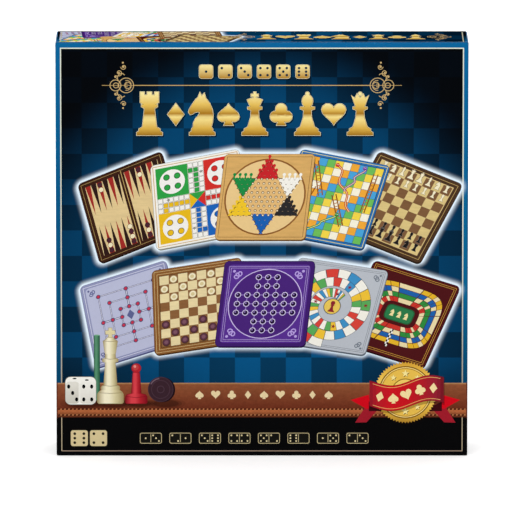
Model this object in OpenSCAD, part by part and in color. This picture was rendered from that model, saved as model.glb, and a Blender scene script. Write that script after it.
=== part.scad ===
// Games compendium box: a telescoping rigid box that stands on its lower edge, cover to the front (-Y).
// X is width, Y is depth from cover (-Y) to back (+Y), Z is height. The origin is the middle of the foot.

/* [Box] */
// Width of the closed box; a narrower one holds fewer pieces in its rows
box_w = 270; // [243:1:330]
// Height of the closed box as it stands; a lower one leaves less room over the pieces
box_h = 275; // [247:1:330]
// Depth of the closed box, cover to back; a flatter one holds fewer pieces in its rows
box_d = 50; // [45:1:80]
// Thickness of the greyboard in lid and base
grey_t = 1.5; // [1:0.1:2.5]
// Thickness of the printed wrap and its glue
wrap_t = 0.25; // [0.2:0.05:0.5]
// How far the wrap is turned in behind each rim
turn_in = 15; // [8:1:25]
// Running gap between lid walls and base walls
lid_gap = 0.4; // [0.3:0.1:1]
// Gap between the cover and the rim of the base
head_gap = 0.4; // [0.3:0.1:1]
// How far the lid's rim stops short of the back
rim_back = 1; // [0:0.5:5]

/* [Playing boards] */
// Number of double-sided boards
play_n = 5; // [1:1:6]
// Thickness of one board
play_t = 2; // [1.5:0.1:2.5]
// Corner radius of a board
play_r = 12; // [3:1:20]
// Gap beside and above the boards
play_side = 1.5; // [0.5:0.5:4]
// Air between one flat piece and the next in the stack
play_gap = 0.3; // [0.2:0.1:0.6]
// Gap under what stands on the lower wall of the base
foot_gap = 0.3; // [0.1:0.1:0.5]

/* [Rules booklet] */
// Width of the booklet
book_w = 148; // [100:1:200]
// Height of the booklet
book_h = 210; // [140:1:250]
// Thickness of the booklet
book_t = 1.2; // [0.5:0.1:2]
// Length of a staple's back
staple_l = 12; // [8:1:15]
// Wire thickness of a staple
staple_t = 0.5; // [0.3:0.1:0.8]

/* [Tray] */
// Wall, floor and divider thickness of the moulded tray
tray_t = 1.2; // [0.8:0.1:1.6]
// Gap between tray and base walls
tray_gap = 0.3; // [0.1:0.1:0.8]
// Free height over the tallest piece of a row, where the box is high enough
head_room = 6; // [0:0.5:10]
// Least finger room at the end of a row
finger_w = 15; // [8:0.5:20]
// Gap under and behind a piece on its seat
seat_gap = 0.3; // [0.2:0.05:0.5]
// Gap between neighbouring pieces
piece_gap = 0.5; // [0.3:0.1:0.8]

/* [Chessmen] */
// Height of a king
king_h = 55; // [45:0.5:60]
// Height of a queen
queen_h = 50; // [42:0.5:54]
// Height of a bishop
bishop_h = 45; // [38:0.5:50]
// Height of a knight
knight_h = 41; // [34:0.5:46]
// Height of a rook
rook_h = 36; // [30:0.5:40]
// Height of a pawn
pawn_h = 32; // [26:0.5:36]
// Base diameter of king and queen
king_d = 20; // [18:0.5:21]
// Base diameter of bishop, knight and rook
officer_d = 18; // [16:0.5:20]
// Base diameter of a pawn
pawn_d = 14.5; // [12:0.5:16]

/* [Draughts] */
// Diameter of a disc
disc_d = 24; // [20:0.5:27]
// Thickness of a disc
disc_t = 4.5; // [4:0.1:5]
// Depth of the ring groove in each face
disc_groove = 0.6; // [0.3:0.1:1]
// Discs of one colour
disc_n = 15; // [12:1:16]

/* [Pawns and pegs] */
// Height of a pawn of the race games
man_h = 25; // [20:0.5:28]
// Base diameter of a pawn of the race games
man_d = 12; // [10:0.5:13]
// Height of a star board peg
peg_h = 17; // [14:0.5:20]
// Base diameter of a star board peg
peg_d = 7; // [6:0.25:7.5]

/* [Sticks and dice] */
// Length of a pick-up stick
stick_l = 165; // [150:1:168]
// Diameter of a pick-up stick
stick_d = 3; // [2.5:0.1:3.4]
// Length of a stick's pointed end
stick_tip = 10; // [5:1:16]
// Edge of a die
die_s = 14; // [12:0.5:15]

/* [Dominoes and cards] */
// Width of a domino
domino_w = 20; // [18:0.5:22]
// Length of a domino
domino_h = 40; // [36:0.5:44]
// Thickness of a domino
domino_t = 7; // [5:0.25:7.5]
// Long side of a playing card
card_l = 89; // [85:0.5:92]
// Short side of a playing card
card_h = 58; // [52:0.5:64]
// Thickness of the whole pack of cards
pack_t = 16; // [12:0.5:20]
// Corner radius of a card
card_r = 3.5; // [2:0.5:5]

/* [Hidden] */
$fn = 48;

// Colours of the print, the boards and the pieces
navy = "#0a4d7a";
night = "#15181d";
greyboard = "#9b9184";
ivory = "#e4d6ac";
ebony = "#26211f";
tan_board = "#b98d55";

// Walls: greyboard between the wrap outside and its turn-in
skin = wrap_t + grey_t;
wall = skin + wrap_t;
// From the outside of the lid to the inside of the base
lap = wall + lid_gap;
base_in = lap + wall;

// Pitch of each kind of piece along its row
officer_step = max(king_d, officer_d) + piece_gap;
pawn_step = pawn_d + piece_gap;
disc_step = disc_t + piece_gap / 5;
man_step = man_d + piece_gap;
peg_step = peg_d + piece_gap;
stick_step = stick_d + seat_gap;
die_step = die_s + piece_gap;
domino_step = domino_w + piece_gap;
domino_rank = domino_t + seat_gap;

// Depth: cover, booklet, boards, tray, back
front_y = -box_d / 2;
back_y = box_d / 2;
stack_t = book_t + play_n * (play_t + play_gap) + play_gap;
stack_y = front_y + skin + head_gap;
tray_y = stack_y + stack_t;
floor_y = back_y - skin - tray_t;
lid_d = box_d - rim_back;
base_d = back_y - stack_y;

// Width: the tray, what is clear inside it, and what pieces may fill in a row
tray_w = box_w - 2 * (base_in + tray_gap);
cell_w = tray_w - 2 * tray_t;
fill_w = cell_w - finger_w - piece_gap;
fill_d = floor_y - seat_gap - tray_y - piece_gap;

// Columns for n pieces wanted in k ranks: step apart, ranks pitch apart, in a width w
function columns(n, k, step, pitch, w) =
    min(ceil(n / min(k, floor(fill_d / pitch))), floor(w / step));
// How many of n pieces fit in c columns whose ranks are pitch apart
function held(n, c, pitch) = min(n, c * floor(fill_d / pitch));

// Cells of the tray that have a width of their own, and the columns in them
officer_n = 8;
officer_cell = officer_n * officer_step + piece_gap;
pawn_n = 8;
pawn_cols = columns(pawn_n, 2, pawn_step, pawn_step, fill_w - officer_cell - tray_t);
man_n = 4;
man_colours = 4;
man_cols = columns(man_n, 2, man_step, man_step, fill_w / man_colours);
roll_w = (fill_w - man_colours * man_cols * man_step) / 2 - tray_t;
roll_n = min(disc_n, floor((roll_w - 2 * piece_gap) / disc_step));
roll_cell = roll_n * disc_step + 2 * piece_gap;
peg_n = 10;
peg_colours = 6;
peg_cols = columns(peg_n, 2, peg_step, peg_step, fill_w / peg_colours);
stick_n = 31;
stick_ranks = min(8, floor(fill_d / stick_step));
stick_layers = ceil(stick_n / stick_ranks);
stick_cell = stick_l + 2 * piece_gap;
dice_n = 5;
dice_cols = columns(dice_n, 1, die_step, die_step, fill_w - stick_cell - tray_t);
domino_n = 28;
card_cell = card_l + piece_gap;
domino_cols = columns(domino_n, 4, domino_step, domino_rank, fill_w - card_cell - tray_t);
domino_cell = domino_cols * domino_step + piece_gap;

// Clear heights of the rows, from the lower wall up; the last row takes what is left
rows = 6;
tray_z = base_in + tray_gap;
tray_h = box_h - 2 * tray_z;
chess_h = max(king_h, queen_h, bishop_h, knight_h, rook_h, pawn_h);
tallest = [chess_h, chess_h, max(disc_d, man_h), peg_h, max(stick_layers * stick_step, die_s)];
function total(v, n) = n == 0 ? 0 : v[n - 1] + total(v, n - 1);
top_need = max(card_h, domino_h) + seat_gap + piece_gap;
clear_h = tray_h - (rows + 1) * tray_t;
free_h = clear_h - total(tallest, rows - 1) - (rows - 1) * seat_gap - top_need;
head = min(head_room, free_h / (rows - 1));
row_low = [for (h = tallest) h + seat_gap + head];
row_h = concat(row_low, clear_h - total(row_low, rows - 1));
function row_z(i) = tray_z + tray_t + total(row_h, i) + i * tray_t;

// A rounded card of width w, height h and thickness t, standing on z = 0, its front at y = 0
module card(w, h, t, r) {
    translate([0, t, 0]) rotate([90, 0, 0]) linear_extrude(t) union() {
        translate([-w / 2 + r, 0]) square([w - 2 * r, h]);
        translate([-w / 2, r]) square([w, h - 2 * r]);
        for (x = [-w / 2 + r, w / 2 - r], y = [r, h - r]) translate([x, y]) circle(r);
    }
}

// A block centred on x = 0 that starts at height z and depth y
module block(w, d, h, y = 0, z = 0) {
    translate([-w / 2, y, z]) cube([w, d, h]);
}

// Greyboard half of a box of outer size w, d, h: a panel at y = 0 and four walls
module grey_shell(w, d, h) {
    difference() {
        block(w - 2 * wrap_t, d - 2 * wrap_t, h - 2 * wrap_t, wrap_t, wrap_t);
        block(w - 2 * skin, d, h - 2 * skin, skin, skin);
    }
}

// The wrap glued over that half: outside skin, rim and turn-in
module wrap_shell(w, d, h) {
    difference() {
        block(w, d, h);
        block(w - 2 * wrap_t, d - 2 * wrap_t, h - 2 * wrap_t, wrap_t, wrap_t);
        block(w - 2 * wall, d, h - 2 * wall, wall, wall);
    }
    difference() {
        block(w - 2 * skin, turn_in - wrap_t / 2, h - 2 * skin, d - turn_in, skin);
        block(w - 2 * wall, turn_in + 1, h - 2 * wall, d - turn_in - 0.5, wall);
    }
}

// Puts a half whose panel is at y = 0 at the back of the box, inside the lid
module at_back() {
    translate([0, back_y, lap]) mirror([0, 1, 0]) children();
}

module lid_wrap() {
    color(navy) translate([0, front_y, 0]) wrap_shell(box_w, lid_d, box_h);
}

module lid_board() {
    color(greyboard) translate([0, front_y, 0]) grey_shell(box_w, lid_d, box_h);
}

module base_wrap() {
    color(night) at_back() wrap_shell(box_w - 2 * lap, base_d, box_h - 2 * lap);
}

module base_board() {
    color(greyboard) at_back() grey_shell(box_w - 2 * lap, base_d, box_h - 2 * lap);
}

// Playing board number i, counted from the back of the stack
module play_board(i, tint) {
    y = tray_y - (i + 1) * (play_t + play_gap);
    color(tint) translate([0, y, base_in + foot_gap])
        card(box_w - 2 * (base_in + play_side), box_h - 2 * base_in - foot_gap - play_side,
            play_t, play_r);
}

module rules_booklet() {
    color("#d9d6cc") block(book_w, book_t, book_h, stack_y, base_in + foot_gap);
}

// Two wire staples, their backs flush on the booklet's spine
module booklet_staples() {
    for (part = [0.25, 0.75]) color("silver")
        translate([-book_w / 2 - staple_t, stack_y + (book_t - staple_t) / 2,
            base_in + foot_gap + part * book_h - staple_l / 2])
            cube([staple_t, staple_t, staple_l]);
}

// Clear cells of row i as [start, width], measured from the left inside wall
function cells(i) =
    i < 2 ? [[0, officer_cell], [officer_cell + tray_t, cell_w - officer_cell - tray_t]] :
    i == 2 ? [[0, roll_cell], [roll_cell + tray_t, roll_cell],
        [2 * (roll_cell + tray_t), cell_w - 2 * (roll_cell + tray_t)]] :
    i == 3 ? [[0, cell_w]] :
    i == 4 ? [[0, stick_cell], [stick_cell + tray_t, cell_w - stick_cell - tray_t]] :
    [[0, domino_cell], [domino_cell + tray_t, cell_w - domino_cell - tray_t]];

module piece_tray() {
    color("#20242b") difference() {
        block(tray_w, floor_y + tray_t - tray_y, tray_h, tray_y, tray_z);
        for (i = [0 : rows - 1], c = cells(i))
            translate([c[0] - cell_w / 2, tray_y - 1, row_z(i)])
                cube([c[1], floor_y - tray_y + 1, row_h[i]]);
    }
}

// Left inside wall of cell c of row i
function cell_x(i, c) = cells(i)[c][0] - cell_w / 2;

// Stands children on row i, their axis r from the tray floor at depth rank k
module seat(i, x, r, k = 0, step = 0) {
    translate([x, floor_y - seat_gap - r - k * step, row_z(i) + seat_gap]) children();
}

// A turned solid from [radius, height] points
module turned(points) {
    rotate_extrude() polygon(points);
}

// Foot, stem and collar that all chessmen share; the collar ends at height top
module stem(r, top) {
    turned([[0, 0], [r, 0], [r, 0.06 * top + 1], [0.86 * r, 0.06 * top + 2], [0.86 * r, 0.1 * top + 2],
        [0.66 * r, 0.1 * top + 3.4], [0.5 * r, 0.36 * top], [0.4 * r, 0.62 * top], [0.38 * r, 0.86 * top],
        [0.62 * r, 0.92 * top], [0.62 * r, 0.96 * top], [0.42 * r, top], [0, top]]);
}

module king() {
    top = 0.66 * king_h;
    r = king_d / 2;
    crown = 0.87 * king_h;
    arm = 0.05 * king_h;
    stem(r, top);
    turned([[0, top - 1], [0.4 * r, top - 1], [0.62 * r, crown], [0.4 * r, crown + 1.4], [0, crown + 1.8]]);
    translate([-arm / 2, -arm / 2, crown]) cube([arm, arm, king_h - crown]);
    translate([-1.5 * arm, -arm / 2, king_h - 2 * arm]) cube([3 * arm, arm, arm]);
}

module queen() {
    top = 0.68 * queen_h;
    r = king_d / 2;
    rim = 0.9 * queen_h;
    stem(r, top);
    difference() {
        turned([[0, top - 1], [0.38 * r, top - 1], [0.64 * r, rim], [0.44 * r, rim], [0.3 * r, rim - 2], [0, rim - 2]]);
        for (a = [0 : 45 : 315]) rotate(a) translate([0.54 * r, 0, rim + 0.4]) sphere(0.14 * r);
    }
    translate([0, 0, rim - 2]) cylinder(h = queen_h - 0.34 * r - rim + 2, r1 = 0.3 * r, r2 = 0.15 * r);
    translate([0, 0, queen_h - 0.2 * r]) sphere(0.2 * r);
}

module bishop() {
    top = 0.66 * bishop_h;
    r = officer_d / 2;
    span = bishop_h - top;
    stem(r, top);
    difference() {
        turned([[0, top - 1], [0.34 * r, top - 1], [0.5 * r, top + 0.26 * span], [0.48 * r, top + 0.42 * span],
            [0.34 * r, top + 0.64 * span], [0.14 * r, top + 0.84 * span], [0, top + 0.9 * span]]);
        translate([0.16 * r, -r, top + 0.4 * span]) rotate([0, -35, 0]) cube([0.9, 2 * r, span]);
    }
    translate([0, 0, bishop_h - 0.13 * r]) sphere(0.13 * r);
}

// A horse's head cut from a flat side view and narrowed towards the top
module knight() {
    top = 0.34 * knight_h;
    r = officer_d / 2;
    span = knight_h - top;
    turned([[0, 0], [r, 0], [r, 2.6], [0.86 * r, 3.6], [0.86 * r, 5], [0.62 * r, 6.4], [0.56 * r, top - 2],
        [0.7 * r, top - 1], [0.7 * r, top], [0, top]]);
    intersection() {
        rotate([90, 0, 0]) linear_extrude(2 * r, center = true) translate([0, top - 1]) polygon([
            [-0.56 * r, 0], [0.62 * r, 0], [0.52 * r, 0.28 * span], [0.3 * r, 0.42 * span],
            [0.86 * r, 0.4 * span], [0.98 * r, 0.52 * span], [0.9 * r, 0.64 * span], [0.4 * r, 0.86 * span],
            [0.22 * r, 1.03 * span], [0, 0.94 * span], [-0.3 * r, 0.88 * span], [-0.62 * r, 0.62 * span],
            [-0.66 * r, 0.32 * span]]);
        rotate([90, 0, 90]) linear_extrude(3 * r, center = true) translate([0, top - 1]) polygon([
            [-0.5 * r, 0], [0.5 * r, 0], [0.42 * r, 0.6 * span], [0.2 * r, 1.1 * span],
            [-0.2 * r, 1.1 * span], [-0.42 * r, 0.6 * span]]);
    }
}

module rook() {
    top = 0.7 * rook_h;
    r = officer_d / 2;
    difference() {
        union() {
            stem(r, top);
            turned([[0, top - 1], [0.42 * r, top - 1], [0.66 * r, top + 2], [0.66 * r, rook_h], [0, rook_h]]);
        }
        translate([0, 0, rook_h - 3]) cylinder(h = 4, r = 0.42 * r);
        for (a = [0, 60, 120]) rotate(a) translate([-r, -0.9, rook_h - 2.2]) cube([2 * r, 1.8, 3]);
    }
}

module pawn() {
    r = pawn_d / 2;
    head = 0.5 * r;
    stem(r, pawn_h - 1.7 * head);
    translate([0, 0, pawn_h - head]) sphere(head);
}

// The men on the back rank of row i, in playing order: rook, knight, bishop, queen, king
module rank(i, places) {
    for (n = places)
        seat(i, cell_x(i, 0) + piece_gap + (n + 0.5) * officer_step, king_d / 2) children();
}

// Eight pawns in two ranks beside them
module pawn_block(i) {
    for (n = [0 : held(pawn_n, pawn_cols, pawn_step) - 1])
        seat(i, cell_x(i, 1) + piece_gap + (n % pawn_cols + 0.5) * pawn_step, pawn_d / 2,
            floor(n / pawn_cols), pawn_step) pawn();
}

// One roll of discs lying in cell c of the disc row
module disc_roll(c) {
    r = disc_d / 2;
    rim = 0.82 * r;
    eye = 0.3 * r;
    for (n = [0 : roll_n - 1])
        translate([cell_x(2, c) + piece_gap + n * disc_step, floor_y - seat_gap - r, row_z(2) + seat_gap + r])
            rotate([0, 90, 0]) turned([[0, 0], [eye, 0], [eye, disc_groove], [rim, disc_groove], [rim, 0],
                [r, 0], [r, disc_t], [rim, disc_t], [rim, disc_t - disc_groove],
                [eye, disc_t - disc_groove], [eye, disc_t], [0, disc_t]]);
}

// A playing pawn or peg: a coned body with a ball on it
module man(h, d) {
    r = d / 2;
    ball = 0.56 * r;
    neck = h - 1.75 * ball;
    turned([[0, 0], [r, 0], [r, 0.1 * h], [0.72 * r, 0.18 * h], [0.3 * r, neck - 0.1 * r],
        [0.5 * r, neck], [0, neck + 0.1 * r]]);
    translate([0, 0, h - ball]) sphere(ball);
}

// Four pawns of colour number c
module four_men(c) {
    for (n = [0 : held(man_n, man_cols, man_step) - 1])
        seat(2, cell_x(2, 2) + piece_gap + (c * man_cols + n % man_cols + 0.5) * man_step, man_d / 2,
            floor(n / man_cols), man_step) man(man_h, man_d);
}

// Ten pegs of colour number c
module ten_pegs(c) {
    for (n = [0 : held(peg_n, peg_cols, peg_step) - 1])
        seat(3, cell_x(3, 0) + piece_gap + (c * peg_cols + n % peg_cols + 0.5) * peg_step, peg_d / 2,
            floor(n / peg_cols), peg_step) man(peg_h, peg_d);
}

// Sticks number a to b of the bundle, laid along X
module sticks(a, b) {
    for (n = [a : b]) {
        layer = floor(n / stick_ranks);
        translate([cell_x(4, 0) + piece_gap,
            floor_y - seat_gap - stick_d / 2 - (n % stick_ranks) * stick_step,
            row_z(4) + seat_gap + stick_d / 2 + layer * stick_step])
            rotate([0, 90, 0]) turned([[0, 0], [0.3, 0], [stick_d / 2, stick_tip],
                [stick_d / 2, stick_l - stick_tip], [0.3, stick_l], [0, stick_l]]);
    }
}

// Where the spots of a die's face with n spots lie, in units of the spot pitch
function spots(n) =
    n == 1 ? [[0, 0]] :
    n == 2 ? [[-1, -1], [1, 1]] :
    n == 3 ? [[-1, 1], [0, 0], [1, -1]] :
    n == 4 ? [[-1, -1], [-1, 1], [1, -1], [1, 1]] :
    n == 5 ? [[-1, -1], [-1, 1], [1, -1], [1, 1], [0, 0]] :
    [[-1, -1], [-1, 0], [-1, 1], [1, -1], [1, 0], [1, 1]];

// Turns that bring +Z to the face with 1 to 6 spots; opposite faces add up to seven
turns = [[0, 0, 0], [90, 0, 0], [0, 90, 0], [0, -90, 0], [-90, 0, 0], [180, 0, 0]];

module die() {
    pitch = 0.26 * die_s;
    difference() {
        intersection() {
            cube(die_s, center = true);
            sphere(0.7 * die_s);
        }
        for (n = [1 : 6], p = spots(n)) rotate(turns[n - 1])
            translate([p[0] * pitch, p[1] * pitch, die_s / 2 + 0.6]) sphere(0.1 * die_s);
    }
}

module dice() {
    for (n = [0 : held(dice_n, dice_cols, die_step) - 1]) color("white")
        seat(4, cell_x(4, 1) + piece_gap + (n % dice_cols + 0.5) * die_step, die_s / 2,
            floor(n / dice_cols), die_step)
            translate([0, 0, die_s / 2]) rotate(turns[(2 * n + 1) % 6]) die();
}

// Double-six set, standing in ranks; a groove parts the two halves of each face
module dominoes() {
    groove = 0.4;
    for (n = [0 : held(domino_n, domino_cols, domino_rank) - 1]) color("ivory")
        seat(5, cell_x(5, 0) + piece_gap + (n % domino_cols + 0.5) * domino_step, domino_t,
            floor(n / domino_cols), domino_rank)
            difference() {
                block(domino_w, domino_t, domino_h);
                block(0.8 * domino_w, groove, 2 * groove, 0, domino_h / 2 - groove);
            }
}

module card_pack() {
    color("#a32a2a")
        seat(5, cell_x(5, 1) + piece_gap + card_l / 2, pack_t) card(card_l, card_h, pack_t, card_r);
}

lid_wrap();
lid_board();
base_wrap();
base_board();
rules_booklet();
booklet_staples();
play_board(4, "#c99a4e");  // board_star_and_snakes
play_board(3, tan_board);  // board_chess_and_racetrack
play_board(2, tan_board);  // board_merels_and_draughts
play_board(1, "#e9e4d4");  // board_ludo_and_solitaire
play_board(0, "#8f2f24");  // board_goose_and_backgammon
piece_tray();
color(ivory) rank(0, [4]) king();  // white_king
color(ivory) rank(0, [3]) queen();  // white_queen
color(ivory) rank(0, [2, 5]) bishop();  // white_bishops
color(ivory) rank(0, [1, 6]) knight();  // white_knights
color(ivory) rank(0, [0, 7]) rook();  // white_rooks
color(ivory) pawn_block(0);  // white_pawns
color(ebony) rank(1, [4]) king();  // black_king
color(ebony) rank(1, [3]) queen();  // black_queen
color(ebony) rank(1, [2, 5]) bishop();  // black_bishops
color(ebony) rank(1, [1, 6]) knight();  // black_knights
color(ebony) rank(1, [0, 7]) rook();  // black_rooks
color(ebony) pawn_block(1);  // black_pawns
color(ivory) disc_roll(0);  // light_discs
color("#4a1f22") disc_roll(1);  // dark_discs
color("#c1272d") four_men(0);  // red_pawns
color("#1f4fa3") four_men(1);  // blue_pawns
color("#1f7a3d") four_men(2);  // green_pawns
color("#e8b923") four_men(3);  // yellow_pawns
color("#c1272d") ten_pegs(0);  // red_pegs
color("#1f4fa3") ten_pegs(1);  // blue_pegs
color("#1f7a3d") ten_pegs(2);  // green_pegs
color("#e8b923") ten_pegs(3);  // yellow_pegs
color(ebony) ten_pegs(4);  // black_pegs
color("white") ten_pegs(5);  // white_pegs
color("#c1272d") sticks(0, 5);  // red_sticks
color("#1f4fa3") sticks(6, 11);  // blue_sticks
color("#1f7a3d") sticks(12, 17);  // green_sticks
color("#e8b923") sticks(18, 23);  // yellow_sticks
color("#e07b1f") sticks(24, 29);  // orange_sticks
color(ebony) sticks(30, 30);  // black_stick
dice();
dominoes();
card_pack();
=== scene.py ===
"""Dresses the games compendium box: its printed lid, base, boards, booklet, tray and game pieces."""
import logging
import math
from collections.abc import Callable, Iterable, Sequence
from dataclasses import dataclass, field
from enum import Enum
from functools import cache

import bpy
import numpy as np
from bpy.types import Material, Node, NodeSocket, NodeTree, Object
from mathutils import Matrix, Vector
from mathutils.geometry import delaunay_2d_cdt


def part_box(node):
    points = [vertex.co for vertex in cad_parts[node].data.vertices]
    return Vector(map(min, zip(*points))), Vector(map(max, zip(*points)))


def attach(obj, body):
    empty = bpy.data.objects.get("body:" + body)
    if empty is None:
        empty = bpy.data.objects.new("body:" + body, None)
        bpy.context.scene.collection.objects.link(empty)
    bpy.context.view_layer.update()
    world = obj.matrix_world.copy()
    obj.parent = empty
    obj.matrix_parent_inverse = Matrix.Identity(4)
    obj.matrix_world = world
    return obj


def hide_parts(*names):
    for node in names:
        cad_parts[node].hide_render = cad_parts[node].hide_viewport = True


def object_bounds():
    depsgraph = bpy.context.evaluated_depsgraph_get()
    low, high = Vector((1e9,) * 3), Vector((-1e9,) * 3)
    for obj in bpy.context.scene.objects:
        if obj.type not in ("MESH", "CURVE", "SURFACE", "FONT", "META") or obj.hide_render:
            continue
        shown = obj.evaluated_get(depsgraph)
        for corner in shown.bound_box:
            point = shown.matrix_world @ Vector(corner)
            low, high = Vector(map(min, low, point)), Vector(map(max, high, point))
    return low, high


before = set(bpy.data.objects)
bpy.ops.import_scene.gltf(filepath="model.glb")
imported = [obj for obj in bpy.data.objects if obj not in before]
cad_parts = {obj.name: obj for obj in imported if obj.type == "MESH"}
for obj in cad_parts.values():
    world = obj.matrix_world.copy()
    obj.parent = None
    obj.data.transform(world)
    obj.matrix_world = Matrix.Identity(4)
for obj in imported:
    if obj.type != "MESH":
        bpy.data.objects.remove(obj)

LOG = logging.getLogger("compendium")
MM = 0.001
CAD_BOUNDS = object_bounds()

Point = tuple[float, float]
Triple = Sequence[float]
Colour = tuple[float, float, float, float]
Tint = str | Colour
Stops = Sequence[tuple[float, Tint]]
Paint = Tint | Callable[[Point], Colour]
Place = Callable[[Point], Point]
Outline = list[Point]
Motif = list[Outline]


@cache
def ink(code: str, alpha: float = 1.0) -> Colour:
    """Gives the linear colour of a hexadecimal ink such as #0a4d7a.

    Args:
        code: The ink as a hash sign and six digits.
        alpha: How much of it covers what lies below.

    Returns:
        Red, green and blue in linear light, then alpha.
    """
    channels = [int(code[i:i + 2], 16) / 255 for i in (1, 3, 5)]
    return tuple(v / 12.92 if v <= 0.04045 else ((v + 0.055) / 1.055) ** 2.4 for v in channels) + (alpha,)


def tint(colour: Tint) -> Colour:
    """Gives a linear colour from a hexadecimal ink, or passes on one that is linear already."""
    return ink(colour) if isinstance(colour, str) else colour


def blend(low: Tint, high: Tint, share: float) -> Colour:
    """Mixes two inks; share 0 gives the first and 1 the second."""
    t = min(max(share, 0.0), 1.0)
    return tuple(a + (b - a) * t for a, b in zip(tint(low), tint(high)))


def ramp(stops: Stops, at: float) -> Colour:
    """Reads a colour from a list of stops.

    Args:
        stops: Positions with their inks, in rising order.
        at: The position to read.

    Returns:
        The ink there, held level past both ends.
    """
    for (low, a), (high, b) in zip(stops, stops[1:]):
        if at <= high:
            return blend(a, b, (at - low) / (high - low))
    return tint(stops[-1][1])


def shelf(low: float, high: float, at: float) -> float:
    """Gives a smooth step from 0 at low to 1 at high."""
    t = min(max((at - low) / (high - low), 0.0), 1.0)
    return t * t * (3 - 2 * t)


class Finish(Enum):
    """What the print imitates, which picks its material."""

    INK = 0
    LEATHER = 1
    WOOD = 2


def polar(x: float, y: float, r: float, a: float) -> Point:
    """Gives the point at a distance r from a centre, in the direction a."""
    return x + r * math.cos(a), y + r * math.sin(a)


def circle(x: float, y: float, r: float, n: int = 20, squash: float = 1.0) -> Outline:
    """Gives a circle, or an ellipse that is squash times as high as wide."""
    return [(x + u, y + squash * v) for u, v in (polar(0, 0, r, math.tau * i / n) for i in range(n))]


def box(x0: float, y0: float, x1: float, y1: float) -> Outline:
    """Gives an upright rectangle between two corners."""
    return [(x0, y0), (x1, y0), (x1, y1), (x0, y1)]


def rounded(x0: float, y0: float, x1: float, y1: float, r: float, n: int = 5) -> Outline:
    """Gives a rectangle with corners of radius r, each of n segments."""
    corners = ((x1 - r, y0 + r, -1), (x1 - r, y1 - r, 0), (x0 + r, y1 - r, 1), (x0 + r, y0 + r, 2))
    return [polar(cx, cy, r, math.pi / 2 * (turn + i / n)) for cx, cy, turn in corners for i in range(n + 1)]


def star(x: float, y: float, outer: float, inner: float, n: int = 5) -> Outline:
    """Gives a star of n points, the first one upright."""
    return [polar(x, y, inner if i % 2 else outer, math.pi / 2 + math.pi * i / n) for i in range(2 * n)]


def spiral(x: float, y: float, r0: float, r1: float, a0: float, a1: float, n: int = 16) -> Outline:
    """Gives the points of a spiral whose radius and angle, in turns, run between two values each."""
    return [polar(x, y, r0 + (r1 - r0) * i / n, math.tau * (a0 + (a1 - a0) * i / n)) for i in range(n + 1)]


def arc(x: float, y: float, r: float, a0: float, a1: float, n: int = 10) -> Outline:
    """Gives the points of an arc between two angles in turns."""
    return spiral(x, y, r, r, a0, a1, n)


def widen(outline: Outline, by: float) -> Outline:
    """Moves each side of a counter-clockwise outline outwards by a distance, with mitred corners.

    Args:
        outline: The shape.
        by: How far each side moves.

    Returns:
        The wider shape, with as many points.
    """
    out: Outline = []
    for i, (x, y) in enumerate(outline):
        (x0, y0), (x1, y1) = outline[i - 1], outline[(i + 1) % len(outline)]
        before, after = math.dist((x, y), (x0, y0)) or 1.0, math.dist((x1, y1), (x, y)) or 1.0
        nx, ny = (y - y0) / before + (y1 - y) / after, (x0 - x) / before + (x - x1) / after
        scale = max(nx * nx + ny * ny, 0.8)
        out.append((x + 2 * by * nx / scale, y + 2 * by * ny / scale))
    return out


def ribbon(points: Sequence[Point], width: float, closed: bool = False) -> Motif:
    """Cuts a line of some width into four-sided pieces.

    Args:
        points: The middle of the line.
        width: Its width.
        closed: Whether the last point joins the first.

    Returns:
        One outline for each stretch of the line.
    """
    line = list(points) + ([points[0]] if closed else [])
    n = len(line)
    sides = []
    for i, (x, y) in enumerate(line):
        before, after = max(i - 1, 0), min(i + 1, n - 1)
        if closed:
            before, after = (i - 1) % (n - 1), (i + 1) % (n - 1)
        (x0, y0), (x1, y1) = line[before], line[after]
        length = math.hypot(x1 - x0, y1 - y0) or 1.0
        nx, ny = -(y1 - y0) / length * width / 2, (x1 - x0) / length * width / 2
        sides.append(((x + nx, y + ny), (x - nx, y - ny)))
    return [[b0, b1, a1, a0] for (a0, b0), (a1, b1) in zip(sides, sides[1:])]


def lathe_outline(profile: Sequence[Point]) -> Outline:
    """Mirrors a profile of (height, half width) pairs into a closed silhouette."""
    return [(r, z) for z, r in profile] + [(-r, z) for z, r in reversed(profile) if r > 0]


def slanted(corner: Point, across: Point, up: Point, span: float = 100.0) -> Place:
    """Maps a square of side span to a parallelogram.

    Args:
        corner: Where the square's lower left corner goes.
        across: The edge that its bottom becomes.
        up: The edge that its left side becomes.
        span: The square's side.

    Returns:
        The map.
    """
    return lambda p: tuple(c + (a * p[0] + u * p[1]) / span for c, a, u in zip(corner, across, up))


@dataclass
class Patch:
    """One printed shape: its outline on the sheet, its colour and what it imitates."""

    outline: Outline
    paint: Paint
    finish: Finish


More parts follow.
